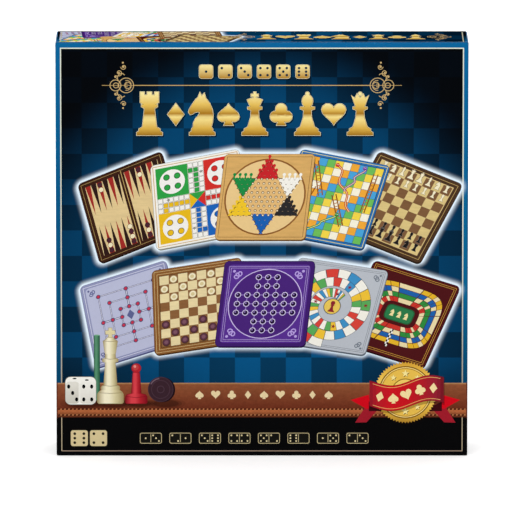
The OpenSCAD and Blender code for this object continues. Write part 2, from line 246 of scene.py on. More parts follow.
@dataclass
class Artist:
    """Draws shapes on a print, through a map from its own coordinates to the sheet's millimetres."""

    patches: list[Patch]
    place: Place = lambda p: p
    finish: Finish = Finish.INK

    def fill(self, outline: Iterable[Point], paint: Paint) -> None:
        """Adds one filled shape over what is already drawn."""
        paint = paint if callable(paint) else tint(paint)
        self.patches.append(Patch([self.place(p) for p in outline], paint, self.finish))

    def line(self, points: Sequence[Point], width: float, paint: Paint, closed: bool = False) -> None:
        """Adds a line of even width in this artist's own units."""
        for piece in ribbon(points, width, closed):
            self.fill(piece, paint)

    def discs(self, x: float, y: float, n: int, *rings: tuple[float, Paint]) -> None:
        """Adds discs of n sides about one point, each with its radius and ink, the widest first."""
        for r, paint in rings:
            self.fill(circle(x, y, r, n), paint)

    def stamp(self, motif: Motif, paint: Paint, grow: float = 0.0) -> None:
        """Adds a motif, widened on all sides by grow in its own units."""
        for outline in motif:
            self.fill(widen(outline, grow) if grow else outline, paint)

    def on(self, finish: Finish) -> "Artist":
        """Gives an artist whose inks imitate a material."""
        return Artist(self.patches, self.place, finish)

    def moved(self, place: Place) -> "Artist":
        """Gives an artist that draws through a further map on the same sheet."""
        return Artist(self.patches, lambda p: self.place(place(p)), self.finish)

    def at(self, x: float, y: float, size: float, turn: float = 0.0) -> "Artist":
        """Gives an artist whose unit is size long, centred on a point and turned by an angle."""
        c, s = size * math.cos(turn), size * math.sin(turn)
        return self.moved(slanted((x, y), (c, s), (-s, c), 1.0))

    def upright(self, spot: Point, size: float) -> "Artist":
        """Gives an artist that stands upright on the sheet.

        Args:
            spot: Where its foot is, in this artist's units.
            size: How long its unit is, in this artist's units.

        Returns:
            The artist.
        """
        unit = size * math.dist(self.place((0, 0)), self.place((1, 0)))
        return Artist(self.patches, slanted(self.place(spot), (unit, 0), (0, unit), 1.0), self.finish)


@dataclass(frozen=True)
class Panel:
    """A flat side of a piece: where its (0, 0) lies, and its right and up directions, in metres."""

    corner: Triple
    right: Triple
    up: Triple

    def point(self, at: Point, depth: float = 0.0) -> Vector:
        """Gives the place of a sheet point, sunk below the face by a depth, all in millimetres."""
        right, up = Vector(self.right), Vector(self.up)
        return Vector(self.corner) + (right * at[0] + up * at[1] - right.cross(up) * depth) * MM


def make_mesh(name: str, points: Sequence[Vector], faces: Sequence[Sequence[int]],
              materials: Sequence[Material], slots: Sequence[int] = ()) -> Object:
    """Makes a piece from points and faces.

    Args:
        name: The piece's name.
        points: Corners, in metres.
        faces: Corner numbers of each face, counter-clockwise from outside.
        materials: The piece's materials.
        slots: Which material each face has; the first one if left out.

    Returns:
        The new object, linked to the scene.
    """
    mesh = bpy.data.meshes.new(name)
    mesh.from_pydata([tuple(p) for p in points], [], [list(f) for f in faces])
    for material in materials:
        mesh.materials.append(material)
    if slots:
        mesh.polygons.foreach_set("material_index", slots)
    mesh.update()
    return show(name, mesh)


def show(name: str, data: bpy.types.ID) -> Object:
    """Links a new object to the scene.

    Args:
        name: Its name.
        data: Its mesh, lamp or camera.

    Returns:
        The object.
    """
    thing = bpy.data.objects.new(name, data)
    bpy.context.scene.collection.objects.link(thing)
    return thing


def mount(piece: Object, body: str, slot: str, node: str = "") -> Object:
    """Mounts a finished piece on the frame and reports it.

    Args:
        piece: The piece.
        body: The body that it rides on.
        slot: The record's material slot; not used.
        node: The CAD node that it stands for, if any.

    Returns:
        The piece.
    """
    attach(piece, body)
    if node:
        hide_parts(node)
    LOG.info("%s: %d faces", piece.name, len(piece.data.polygons))
    return piece


def corners(node: str) -> tuple[Triple, Triple]:
    """Gives a node's lowest and highest corners in millimetres."""
    low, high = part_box(node)
    return [v / MM for v in low], [v / MM for v in high]


@dataclass
class Carving:
    """Collects the points and faces of closed solids, in millimetres, into one piece."""

    points: list[Vector] = field(default_factory=list)
    faces: list[list[int]] = field(default_factory=list)

    def rings(self, rings: Sequence[Sequence[Triple]]) -> None:
        """Joins rings of as many points each into a closed solid.

        Args:
            rings: The rings, which turn counter-clockwise seen from the last.
        """
        first, n = len(self.points), len(rings[0])
        self.points += [Vector(p) * MM for ring in rings for p in ring]
        for a in range(first, first + (len(rings) - 1) * n, n):
            self.faces += [[a + j, a + (j + 1) % n, a + n + (j + 1) % n, a + n + j] for j in range(n)]
        last = len(self.points)
        self.faces += [list(range(first + n - 1, first - 1, -1)), list(range(last - n, last))]

    def turned(self, profile: Sequence[Point], place: Callable[[float, float, float], Triple],
               n: int = 32) -> None:
        """Adds a turned solid.

        Args:
            profile: Pairs of radius and height along the axis, upwards; the radius stays over 0.
            place: Puts a point of the solid, whose axis is its own Z, in the frame.
            n: The number of sides.
        """
        self.rings([[place(x, y, z) for x, y in circle(0, 0, r, n)] for r, z in profile])

    def piece(self, name: str, material: Material, smooth: bool = True) -> Object:
        """Makes the piece.

        Args:
            name: The piece's name.
            material: Its material.
            smooth: Whether only its sharp edges show.

        Returns:
            The piece.
        """
        piece = make_mesh(name, self.points, self.faces, [material])
        if smooth:
            piece.data.shade_smooth()
            piece.data.set_sharp_from_angle(angle=math.radians(38))
        return piece


@dataclass
class Tree:
    """Builds a node tree with short calls."""

    tree: NodeTree

    def feed(self, node: Node, inputs: dict[str | int, object]) -> None:
        """Gives a node's inputs their sources, or their plain values.

        Args:
            node: The node.
            inputs: A socket or a plain value for each input, by name or number.
        """
        for key, value in inputs.items():
            if isinstance(value, NodeSocket):
                self.tree.links.new(value, node.inputs[key])
            else:
                node.inputs[key].default_value = value

    def add(self, kind: str, inputs: dict[str | int, object] | None = None, **values: object) -> Node:
        """Adds a node, sets its attributes and feeds its inputs.

        Args:
            kind: The node's type.
            inputs: A socket or a plain value for each input, by name or number.
            **values: The node's attributes.

        Returns:
            The node.
        """
        node = self.tree.nodes.new(kind)
        for key, value in values.items():
            setattr(node, key, value)
        self.feed(node, inputs or {})
        return node

    def maths(self, operation: str, *values: NodeSocket | float) -> NodeSocket:
        """Works out one operation on sockets or numbers."""
        return self.add("ShaderNodeMath", dict(enumerate(values)), operation=operation).outputs[0]

    def span(self, value: NodeSocket, low: float, high: float) -> NodeSocket:
        """Maps a value from 0..1 to low..high."""
        return self.add("ShaderNodeMapRange", {"Value": value, "To Min": low, "To Max": high}).outputs[0]

    def seen(self) -> NodeSocket:
        """Gives 1 for the rays that the background shows in: camera, glossy and transmission rays.

        Returns:
            The value's socket.
        """
        rays = self.add("ShaderNodeLightPath").outputs
        return self.maths("MAXIMUM", self.maths("MAXIMUM", rays["Is Camera Ray"], rays["Is Glossy Ray"]),
                          rays["Is Transmission Ray"])


class Nodes(Tree):
    """A material's node tree."""

    def __init__(self, name: str) -> None:
        """Starts a material with a Principled shader and its output.

        Args:
            name: The material's name.
        """
        self.material = bpy.data.materials.new(name)
        self.material.use_nodes = True
        super().__init__(self.material.node_tree)
        self.tree.nodes.clear()
        self.shader = self.add("ShaderNodeBsdfPrincipled")
        self.add("ShaderNodeOutputMaterial", {0: self.shader.outputs[0]})

    def place(self, scale: Triple = (1, 1, 1)) -> NodeSocket:
        """Gives object coordinates, in metres, stretched by a scale."""
        coordinates = self.add("ShaderNodeTexCoord").outputs["Object"]
        return self.add("ShaderNodeMapping", {"Vector": coordinates, "Scale": scale}).outputs[0]

    def noise(self, scale: float, detail: float = 3.0, stretch: Triple = (1, 1, 1),
              rough: float = 0.55) -> NodeSocket:
        """Gives a noise value from 0 to 1 over object coordinates.

        Args:
            scale: How many of its waves fit in a metre.
            detail: Its octaves.
            stretch: Factors on the coordinates.
            rough: How strong the finer octaves are.

        Returns:
            The value's socket.
        """
        return self.add("ShaderNodeTexNoise", {"Vector": self.place(stretch), "Scale": scale,
                                               "Detail": detail, "Roughness": rough}).outputs["Fac"]

    def curve(self, value: NodeSocket, stops: Stops) -> NodeSocket:
        """Turns a value into a colour.

        Args:
            value: The value, from 0 to 1.
            stops: Positions with their colours.

        Returns:
            The colour's socket.
        """
        node = self.add("ShaderNodeValToRGB", {"Fac": value})
        elements = node.color_ramp.elements
        while len(elements) < len(stops):
            elements.new(0.5)
        for element, (at, colour) in zip(elements, stops):
            element.position = at
            element.color = tint(colour)
        return node.outputs["Color"]

    def multiply(self, colour: NodeSocket, by: NodeSocket) -> NodeSocket:
        """Multiplies a colour by a grey value or another colour."""
        return self.add("ShaderNodeMix", {"Factor": 1.0, "A": colour, "B": by}, data_type="RGBA",
                        blend_type="MULTIPLY").outputs["Result"]

    def bump(self, height: NodeSocket, distance: float, strength: float) -> None:
        """Roughens the surface by a height, as deep as distance in metres."""
        self.set(Normal=self.add("ShaderNodeBump", {"Strength": strength, "Distance": distance,
                                                    "Height": height}).outputs[0])

    def set(self, **sockets: object) -> None:
        """Feeds the shader's own sockets; an underscore in a name stands for a blank."""
        self.feed(self.shader, {key.replace("_", " "): value for key, value in sockets.items()})


@dataclass(frozen=True)
class PrintedPaper:
    """Offset print on coated paper, whose ink comes from the sheet's own colour attribute."""

    name: str
    imitates: Finish
    roughness: float = 0.5
    gloss: float = 0.02

    def make(self) -> Material:
        """Builds the material: ink, the texture that it imitates, and the varnish.

        Returns:
            The material.
        """
        nodes = Nodes(self.name)
        inks = nodes.add("ShaderNodeAttribute", attribute_name="ink").outputs["Color"]
        colour = nodes.multiply(inks, nodes.span(nodes.noise(900.0, 2.0), 0.95, 1.04))
        if self.imitates is Finish.LEATHER:
            colour = nodes.multiply(colour, nodes.span(nodes.noise(420.0, 4.0, (1, 1, 1.6), 0.7), 0.62, 1.34))
        elif self.imitates is Finish.WOOD:
            colour = nodes.multiply(colour, nodes.span(nodes.noise(60.0, 4.0, (1.5, 1, 14), 0.6), 0.80, 1.16))
        varnish = nodes.span(nodes.noise(700.0, 2.0), self.roughness - 0.05, self.roughness + 0.06)
        nodes.set(Base_Color=colour, Roughness=varnish, Specular_IOR_Level=self.gloss)
        nodes.bump(nodes.noise(1400.0, 2.0), 0.00001, 0.35)
        return nodes.material


@dataclass(frozen=True)
class WrapEdge:
    """The wrap where it folds round the box: the border, band and foot inks, with rubbed corners."""

    name: str
    foot: float
    band: float
    top: float

    def make(self) -> Material:
        """Builds the material over the box's height.

        Returns:
            The material.
        """
        nodes = Nodes(self.name)
        height = nodes.add("ShaderNodeSeparateXYZ", {0: nodes.place()}).outputs["Z"]
        share = nodes.add("ShaderNodeMapRange", {"Value": height, "From Max": self.top * MM}).outputs[0]
        foot, band, edge = self.foot / self.top, self.band / self.top, 0.001
        colour = nodes.curve(share, (
            (0.0, "#060708"), (foot - edge, "#060708"), (foot + edge, "#6b3322"), (band - edge, "#6b3322"),
            (band + edge, "#05436a"), (0.4, "#08628f"), (1.0, "#0a6399")))
        rub = nodes.curve(nodes.noise(260.0, 5.0), [(0.62, (1, 1, 1, 1)), (0.74, (1.5, 1.45, 1.4, 1))])
        nodes.set(Base_Color=nodes.multiply(colour, rub), Roughness=0.5, Specular_IOR_Level=0.02)
        nodes.bump(nodes.noise(1200.0, 3.0), 0.00002, 0.4)
        return nodes.material


@dataclass(frozen=True)
class Stock:
    """A plain material with two close tones, such as board, paper or moulded plastic."""

    name: str
    low: str
    high: str
    roughness: float
    scale: float = 300.0
    stretch: Triple = (1, 1, 1)
    bump: float = 0.00002
    coat: float = 0.0
    soft: float = 0.0
    metal: float = 0.0
    gloss: float = 0.5

    def make(self) -> Material:
        """Builds the material.

        Returns:
            The material.
        """
        nodes = Nodes(self.name)
        tones = nodes.curve(nodes.noise(self.scale, 4.0, self.stretch), [(0.3, self.low), (0.7, self.high)])
        rough = nodes.span(nodes.noise(self.scale * 2, 3.0), self.roughness - 0.06, self.roughness + 0.08)
        nodes.set(Base_Color=tones, Roughness=rough, Metallic=self.metal, Specular_IOR_Level=self.gloss,
                  Coat_Weight=self.coat, Coat_Roughness=0.15, Subsurface_Weight=self.soft,
                  Subsurface_Scale=0.002)
        nodes.bump(nodes.noise(self.scale * 4, 3.0, self.stretch), self.bump, 0.5)
        return nodes.material


@dataclass(frozen=True)
class DiceWhite:
    """White plastic whose spots, the hollows under each face, are black."""

    name: str
    edge: float
    step: float
    shallow: float = 0.06

    def make(self, low: Triple) -> Material:
        """Builds the material for a row of dice.

        Args:
            low: The row's lowest corner, in metres.

        Returns:
            The material, black wherever a point lies deeper in its die than a face does.
        """
        nodes = Nodes(self.name)
        place = nodes.add("ShaderNodeSeparateXYZ", {0: nodes.place()}).outputs
        x, y, z = (nodes.maths("SUBTRACT", place[i], low[i]) for i in range(3))
        x = nodes.maths("FLOORED_MODULO", x, self.step * MM)
        x, y, z = (nodes.maths("ABSOLUTE", nodes.maths("SUBTRACT", v, self.edge * MM / 2)) for v in (x, y, z))
        reach = nodes.maths("MAXIMUM", nodes.maths("MAXIMUM", x, y), z)
        hollow = nodes.maths("LESS_THAN", reach, (self.edge / 2 - self.shallow) * MM)
        nodes.set(Base_Color=nodes.curve(hollow, [(0.4, "#efede6"), (0.6, "#101012")]), Roughness=0.3,
                  Coat_Weight=0.3)
        return nodes.material


BLACK_PAPER = Stock("black_paper", "#0a0b0e", "#15171c", 0.62, 500.0, bump=0.00002, gloss=0.12)
GREYBOARD = Stock("greyboard", "#857b6e", "#a89d8e", 0.85, 900.0, (1, 1, 0.5), 0.00005)
CARD_STOCK = Stock("card_stock", "#d9d5ca", "#efece3", 0.6, 400.0, bump=0.00001)
BOOK_PAPER = Stock("booklet_paper", "#dcd8ca", "#ebe7da", 0.65, 350.0, bump=0.00001)
BOARD_EDGE = Stock("board_edge", "#3a2a1c", "#5a4430", 0.6, 800.0, (1, 3, 1), 0.00003)
TRAY = Stock("tray_plastic", "#14171c", "#1e232b", 0.45, 200.0, bump=0.00001, gloss=0.25)
STAPLE = Stock("staple_wire", "#b9b9bd", "#d6d6d8", 0.28, 900.0, metal=1.0)
PLASTICS = {name: Stock(name + "_plastic", low, high, 0.3, 120.0, bump=0.000006, coat=0.25, soft=soft)
            for name, low, high, soft in (
                ("ivory", "#d8c690", "#efe2b6", 0.08), ("black", "#141212", "#211e1d", 0.0),
                ("plum", "#2e1820", "#452631", 0.0), ("red", "#a31d22", "#c22b2e", 0.0),
                ("blue", "#17459a", "#2559b4", 0.0), ("green", "#17693a", "#248048", 0.0),
                ("yellow", "#d9a91c", "#edc030", 0.0), ("orange", "#cc6a17", "#e37f22", 0.0),
                ("white", "#dfddd6", "#f3f1ea", 0.06))}


class Materials:
    """Every finish of the box, made once."""

    def __init__(self) -> None:
        """Makes the prints, glossy and matt ones, in the order of their finishes."""
        self.prints = [PrintedPaper("print_ink", Finish.INK).make(),
                       PrintedPaper("print_leather", Finish.LEATHER, 0.6).make(),
                       PrintedPaper("print_wood", Finish.WOOD).make()]
        self.matt_prints = [PrintedPaper("matt_" + kind.name.lower(), kind, gloss=0.0).make()
                            for kind in Finish]
        self.made: dict[str, Material] = {}

    def stock(self, stock: Stock) -> Material:
        """Gives a stock's material, made at its first use.

        Args:
            stock: The stock.

        Returns:
            Its material.
        """
        if stock.name not in self.made:
            self.made[stock.name] = stock.make()
        return self.made[stock.name]


def inside(points: np.ndarray, outline: np.ndarray) -> np.ndarray:
    """Finds the points inside an outline, by counting the sides that a ray to the right crosses.

    Args:
        points: The points, one a row.
        outline: The outline's corners, one a row.

    Returns:
        True or false for each point.
    """
    x, y = points[:, :1], points[:, 1:]
    ends = np.roll(outline, -1, axis=0)
    spans = (outline[:, 1] > y) != (ends[:, 1] > y)
    rise = ends[:, 1] - outline[:, 1]
    slope = (ends[:, 0] - outline[:, 0]) / np.where(rise == 0, 1, rise)
    return np.count_nonzero(spans & (x < outline[:, 0] + (y - outline[:, 1]) * slope), axis=1) % 2 == 1


def boundary(triangles: Sequence[Sequence[int]]) -> list[int]:
    """Gives the longest outer loop of a flat mesh, in the direction of its triangles.

    Args:
        triangles: Three corner numbers each.

    Returns:
        The loop's corner numbers.
    """
    sides = {(t[i], t[(i + 1) % 3]) for t in triangles for i in range(3)}
    follow = {a: b for a, b in sides if (b, a) not in sides}
    loops: list[list[int]] = []
    while follow:
        here = next(iter(follow))
        loops.append([])
        while here in follow:
            loops[-1].append(here)
            here = follow.pop(here)
    return max(loops, key=len)


@dataclass
class PrintSheet:
    """A printed paper face: overlapping inks are cut into one flat layer, each face with its own colour."""

    name: str
    panel: Panel
    outline: Outline
    depth: float = 0.06
    matt: bool = False
    paper: Colour = (0.62, 0.62, 0.6, 1.0)
    patches: list[Patch] = field(default_factory=list)
    guides: list[tuple[Point, Point]] = field(default_factory=list)

    def artist(self) -> Artist:
        """Gives an artist that draws in the sheet's own millimetres."""
        return Artist(self.patches)

    def levels(self, x0: float, x1: float, ys: Iterable[float]) -> None:
        """Adds level lines that cut the inks, so that a shade can change along them."""
        self.guides += [((x0, y), (x1, y)) for y in ys]

    def uprights(self, y0: float, y1: float, xs: Iterable[float]) -> None:
        """Adds upright lines that cut the inks."""
        self.guides += [((x, y0), (x, y1)) for x in xs]

    def colour(self, cover: Sequence[int], at: Point) -> Colour:
        """Lays the inks over a point one on the other.

        Args:
            cover: The numbers of its patches, the lowest first.
            at: The point on the sheet.

        Returns:
            The mixed colour.
        """
        mixed = (0.8, 0.8, 0.8, 1.0)
        for i in cover:
            paint = self.patches[i].paint
            top = paint(at) if callable(paint) else paint
            mixed = blend(mixed, top[:3] + (1.0,), top[3])
        return mixed

    def covers(self, centres: np.ndarray) -> list[list[int]]:
        """Finds the inks over each triangle.

        Args:
            centres: The middles of the triangles.

        Returns:
            For each triangle, the numbers of its patches from the topmost opaque one up, the lowest first.
        """
        out: list[list[int]] = [[] for _ in centres]
        order = np.argsort(centres[:, 0])
        ranked = centres[order]
        for number, patch in enumerate(self.patches):
            shape = np.array(patch.outline)
            first, last = np.searchsorted(ranked[:, 0], (shape[:, 0].min(), shape[:, 0].max()))
            opaque = not callable(patch.paint) and patch.paint[3] >= 1.0
            for i in order[first:last][inside(ranked[first:last], shape)]:
                out[i] = [number] if opaque else out[i] + [number]
        return out

    def cut(self) -> tuple[Sequence[Vector], list[Sequence[int]], np.ndarray]:
        """Cuts the sheet along every outline and guide.

        Returns:
            The corners, and the triangles inside the sheet with their middles.
        """
        points, edges = [], []
        for shape in [self.outline] + [patch.outline for patch in self.patches]:
            first, count = len(points), len(shape)
            edges += [(first + i, first + (i + 1) % count) for i in range(count)]
            points += shape
        for guide in self.guides:
            edges.append((len(points), len(points) + 1))
            points += guide
        flat, _, triangles = delaunay_2d_cdt([Vector(p) for p in points], edges, [], 0, 0.002, False)[:3]
        centres = np.array([tuple(p) for p in flat])[np.array(triangles)].mean(axis=1)
        kept = inside(centres, np.array(self.outline))
        return flat, [triangle for triangle, keep in zip(triangles, kept) if keep], centres[kept]

    def build(self, materials: Materials, body: str, slot: str) -> None:
        """Cuts the inks, makes the sheet with its edge and back, and mounts it.

        Args:
            materials: The box's finishes.
            body: The body that it rides on.
            slot: The record's material slot.
        """
        flat, triangles, centres = self.cut()
        colours, slots = [], []
        for triangle, cover in zip(triangles, self.covers(centres)):
            colours += [self.colour(cover, tuple(flat[i])) for i in triangle]
            slots.append(self.patches[cover[-1]].finish.value if cover else 0)
        used = sorted({i for triangle in triangles for i in triangle})
        number = {old: new for new, old in enumerate(used)}
        faces = [[number[i] for i in triangle] for triangle in triangles]
        loop = boundary(faces)
        low = {i: len(used) + k for k, i in enumerate(loop)}
        points = [self.panel.point(flat[i]) for i in used]
        points += [self.panel.point(flat[used[i]], self.depth) for i in loop]
        faces += [[a, low[a], low[b], b] for a, b in zip(loop, loop[1:] + loop[:1])]
        faces.append([low[i] for i in reversed(loop)])
        slots += [0] * (len(faces) - len(slots))
        colours += [self.paper] * (5 * len(loop))
        prints = materials.matt_prints if self.matt else materials.prints
        piece = make_mesh(self.name, points, faces, prints, slots)
        attribute = piece.data.color_attributes.new("ink", "FLOAT_COLOR", "CORNER")
        attribute.data.foreach_set("color", [channel for colour in colours for channel in colour])
        mount(piece, body, slot)


GOLD = ((0.0, "#a0701c"), (0.16, "#dcb04a"), (0.4, "#f9e391"), (0.5, "#a8741b"), (0.7, "#e6be58"),
        (1.0, "#fbeda6"))
SOFT_GOLD = ((0.0, "#b5832c"), (1.0, "#fbe9a0"))
WHITE = "#f2f0ea"
INK_BLACK = "#040405"
CLEAR = ink("#ffffff", 0.0)
SUITS = ("spade", "heart", "club", "diamond")


def heart() -> Outline:
    """Gives a heart one unit high that stands on its point.

    Returns:
        Its outline.
    """
    turns = [math.tau * i / 24 for i in range(24)]
    return [(-16 * math.sin(t) ** 3 / 29,
             (13 * math.cos(t) - 5 * math.cos(2 * t) - 2 * math.cos(3 * t) - math.cos(4 * t) + 17) / 29)
            for t in turns]


def suit(name: str) -> Motif:
    """Gives the shapes of a card suit, one unit high and centred on x = 0.

    Args:
        name: The suit.

    Returns:
        Its outlines.
    """
    stem = [(-0.2, 0.0), (0.2, 0.0), (0.04, 0.42), (-0.04, 0.42)]
    if name == "heart":
        return [heart()]
    if name == "diamond":
        return [[(0.0, 0.0), (0.37, 0.5), (0.0, 1.0), (-0.37, 0.5)]]
    if name == "spade":
        return [stem, [(-0.9 * x, 1 - 0.84 * y) for x, y in heart()]]
    return [stem, box(-0.16, 0.34, 0.16, 0.62)] + [circle(x, y, 0.25, 16)
                                                   for x, y in ((0, 0.75), (-0.25, 0.4), (0.25, 0.4))]


def centred(motif: Motif) -> Motif:
    """Moves a motif one unit high so that its middle is at the origin."""
    return [[(x, y - 0.5) for x, y in outline] for outline in motif]


def chessman(name: str) -> Motif:
    """Gives the side view of a chessman, one unit high and centred on x = 0.

    Args:
        name: The man.

    Returns:
        Its outlines.
    """
    foot = [(0.0, 0.29), (0.06, 0.29), (0.09, 0.24), (0.14, 0.24), (0.19, 0.16)]
    if name == "pawn":
        return [lathe_outline(foot + [(0.42, 0.1), (0.56, 0.09), (0.58, 0.17), (0.63, 0.17), (0.66, 0.1)]),
                circle(0, 0.81, 0.19, 18)]
    if name == "knight":
        head = [(-0.2, 0.16), (0.2, 0.16), (0.235, 0.3), (0.25, 0.45), (0.23, 0.6), (0.17, 0.74),
                (0.08, 0.86), (0.05, 0.97), (-0.01, 0.9), (-0.05, 0.99), (-0.09, 0.88), (-0.15, 0.82),
                (-0.22, 0.72), (-0.29, 0.6), (-0.31, 0.53), (-0.27, 0.48), (-0.21, 0.5), (-0.17, 0.53),
                (-0.1, 0.545), (-0.045, 0.53), (-0.08, 0.46), (-0.15, 0.38), (-0.2, 0.28)]
        return [lathe_outline(foot[:4] + [(0.2, 0.2)]), head]
    if name == "rook":
        half = [(0.11, 0.7), (0.21, 0.76), (0.21, 1.0), (0.12, 1.0), (0.12, 0.93), (0.05, 0.93), (0.05, 1.0)]
        return [lathe_outline(foot + [(0.62, 0.11), (0.66, 0.18), (0.71, 0.18)]),
                half + [(-x, y) for x, y in half[::-1]]]
    stem = lathe_outline(foot + [(0.42, 0.09), (0.58, 0.08), (0.61, 0.16), (0.65, 0.16), (0.66, 0.08)])
    if name == "bishop":
        return [stem, circle(0, 0.79, 0.12, 16, 1.25), circle(0, 0.96, 0.04, 10)]
    if name == "queen":
        half = [(0.09, 0.64), (0.2, 0.92), (0.12, 0.85), (0.07, 0.95), (0.0, 0.86)]
        return [stem, half + [(-x, y) for x, y in half[-2::-1]], circle(0, 0.96, 0.04, 10)]
    return [stem, lathe_outline([(0.64, 0.09), (0.82, 0.17), (0.86, 0.06)]), box(-0.025, 0.84, 0.025, 1.0),
            box(-0.08, 0.9, 0.08, 0.95)]


def spots(number: int) -> list[Point]:
    """Gives the places of the spots of a die's or a domino's face, in steps from its middle."""
    outer = [(-1, 1), (1, -1), (-1, -1), (1, 1), (-1, 0), (1, 0)]
    return ([(0, 0)] if number % 2 else []) + outer[:number - number % 2]


def chequer(artist: Artist, area: Outline, columns: int, rows: int, light: Paint, dark: Paint) -> None:
    """Prints a chequer, its lower left square dark.

    Args:
        artist: Who draws it.
        area: The box that it fills.
        columns: Squares across.
        rows: Squares upwards.
        light: The ink of the light squares.
        dark: The ink of the dark ones.
    """
    (x0, y0), (x1, y1) = area[0], area[2]
    wide, high = (x1 - x0) / columns, (y1 - y0) / rows
    artist.fill(area, dark)
    for i in range(columns):
        for j in range(1 - i % 2, rows, 2):
            x, y = x0 + i * wide, y0 + j * high
            artist.fill(box(x, y, x + wide, y + high), light)


def inset(by: float) -> Outline:
    """Gives the square that lies inside a board's edge by a distance."""
    return box(by, by, 100 - by, 100 - by)


def ground(artist: Artist, tone: Paint, line: Paint, width: float, *insets: float) -> None:
    """Prints a board's ground and the square lines round it.

    Args:
        artist: Who draws it.
        tone: The ground's ink.
        line: The lines' ink.
        width: The lines' width.
        *insets: How far each line lies from the edge.
    """
    artist.fill(inset(0), tone)
    for by in insets:
        artist.on(Finish.INK).line(inset(by), width, line, True)


def scroll_corners(artist: Artist, by: float, size: float, paint: Paint) -> None:
    """Prints a small scroll in each corner of a board.

    Args:
        artist: Who draws them.
        by: How far they stand from the edges.
        size: Their size.
        paint: Their ink.
    """
    for k, (x, y) in enumerate(inset(by)):
        pen = artist.at(x, y, size, math.pi / 2 * k)
        pen.line(spiral(0.55, 0.3, 0.3, 0.06, 0.5, -0.6, 10), 0.1, paint)
        pen.line(spiral(0.3, 0.55, 0.3, 0.06, -0.25, 0.85, 10), 0.1, paint)
        pen.fill(circle(0.12, 0.12, 0.12, 8), paint)


def chess_board(artist: Artist, men: bool) -> None:
    """Prints a chess board in two woods.

    Args:
        artist: Who draws it.
        men: Whether its men stand on it.
    """
    wood = artist.on(Finish.WOOD)
    ground(wood, "#4a3424", "#c8a765", 0.7, 3.6)
    wood.fill(inset(7), "#d9bd80")
    chequer(wood, inset(8), 8, 8, "#dbc383", "#7c593b")
    order = ("rook", "knight", "bishop", "queen", "king", "bishop", "knight", "rook")
    heights = {"pawn": 13, "rook": 14, "knight": 15, "bishop": 17, "queen": 19, "king": 20}
    for body, edge, rows in (("#f0e6c4", "#5a4a34", (6, 7)), ("#1f1a19", "#7d776f", (1, 0))) if men else ():
        for file in range(8):
            for row, name in zip(rows, ("pawn", order[file])):
                pen = artist.upright((8 + 10.5 * (file + 0.5), 8 + 10.5 * (row + 0.25)), heights[name] * 0.62)
                pen.stamp(chessman(name), edge, 0.03)
                pen.stamp(chessman(name), body)


def draughts_board(artist: Artist, men: bool) -> None:
    """Prints a draughts board.

    Args:
        artist: Who draws it.
        men: Whether light and plum discs lie on it.
    """
    wood = artist.on(Finish.WOOD)
    ground(wood, "#8a5a2e", "#e6cf95", 0.5, 2.2, 5.4)
    wood.fill(inset(7.4), "#3d2917")
    chequer(wood, inset(8), 8, 8, "#e8d6a4", "#8a5f3a")
    for j in (0, 1, 2, 5, 6, 7) if men else ():
        tones = ("#3a2029", "#5c3644", "#7b5261") if j < 3 else ("#b9a472", "#f1e7c6", "#d8c795")
        for i in range(j % 2, 8, 2):
            pen = artist.at(8 + 10.5 * (i + 0.5), 8 + 10.5 * (j + 0.5), 4.4)
            pen.fill(circle(0.1, -0.16, 1.0, 14), ink("#20150c", 0.6))
            pen.discs(0, 0, 14, *zip((1.0, 0.86, 0.5), tones))


def star_board(artist: Artist, men: bool) -> None:
    """Prints a six-pointed star board on pale wood.

    Args:
        artist: Who draws it.
        men: Whether its pegs stand in their homes.
    """
    ground(artist.on(Finish.WOOD), "#d8ab66", "#6b4320", 0.6, 3.0)
    pen = artist.at(50, 50, 45)
    pen.discs(0, 0, 40, (1.0, "#8b5a2b"), (0.96, "#e9c88c"))
    colours = ("#c8262c", "#1c8a45", "#f0c52c", "#1d5fb0", "#2a2a2c", "#f4f1e8")
    tip, notch = 0.94, 0.543
    inner = [polar(0, 0, notch, math.tau * (k / 6 + 1 / 3)) for k in range(6)]
    for k, colour in enumerate(colours):
        point = [inner[k - 1], polar(0, 0, tip, math.tau * (k / 6 + 0.25)), inner[k]]
        pen.fill(widen(point, 0.02), "#4a2f18")
        pen.fill(point, colour)
    pen.fill(inner, "#e2b878")
    step, home = tip / 8, 4
    for a in range(-8, 9):
        for b in range(-8, 9):
            c = -a - b
            if min(a, b, c) < -home and max(a, b, c) > home:
                continue
            x, y = step * (a + b / 2) * 1.155, step * b
            pen.fill(circle(x, y, 0.036, 7), "#5d3d1f")
            pen.fill(circle(x, y - 0.004, 0.022, 6), "#f6e8c8")
            if men and max(abs(a), abs(b), abs(c)) > home:
                colour = colours[round(6 * (math.atan2(y, x) / math.tau - 0.25)) % 6]
                pen.upright((x, y - 0.02), 0.17).stamp([chessman("pawn")[0], circle(0, 0.8, 0.24, 8)], colour)


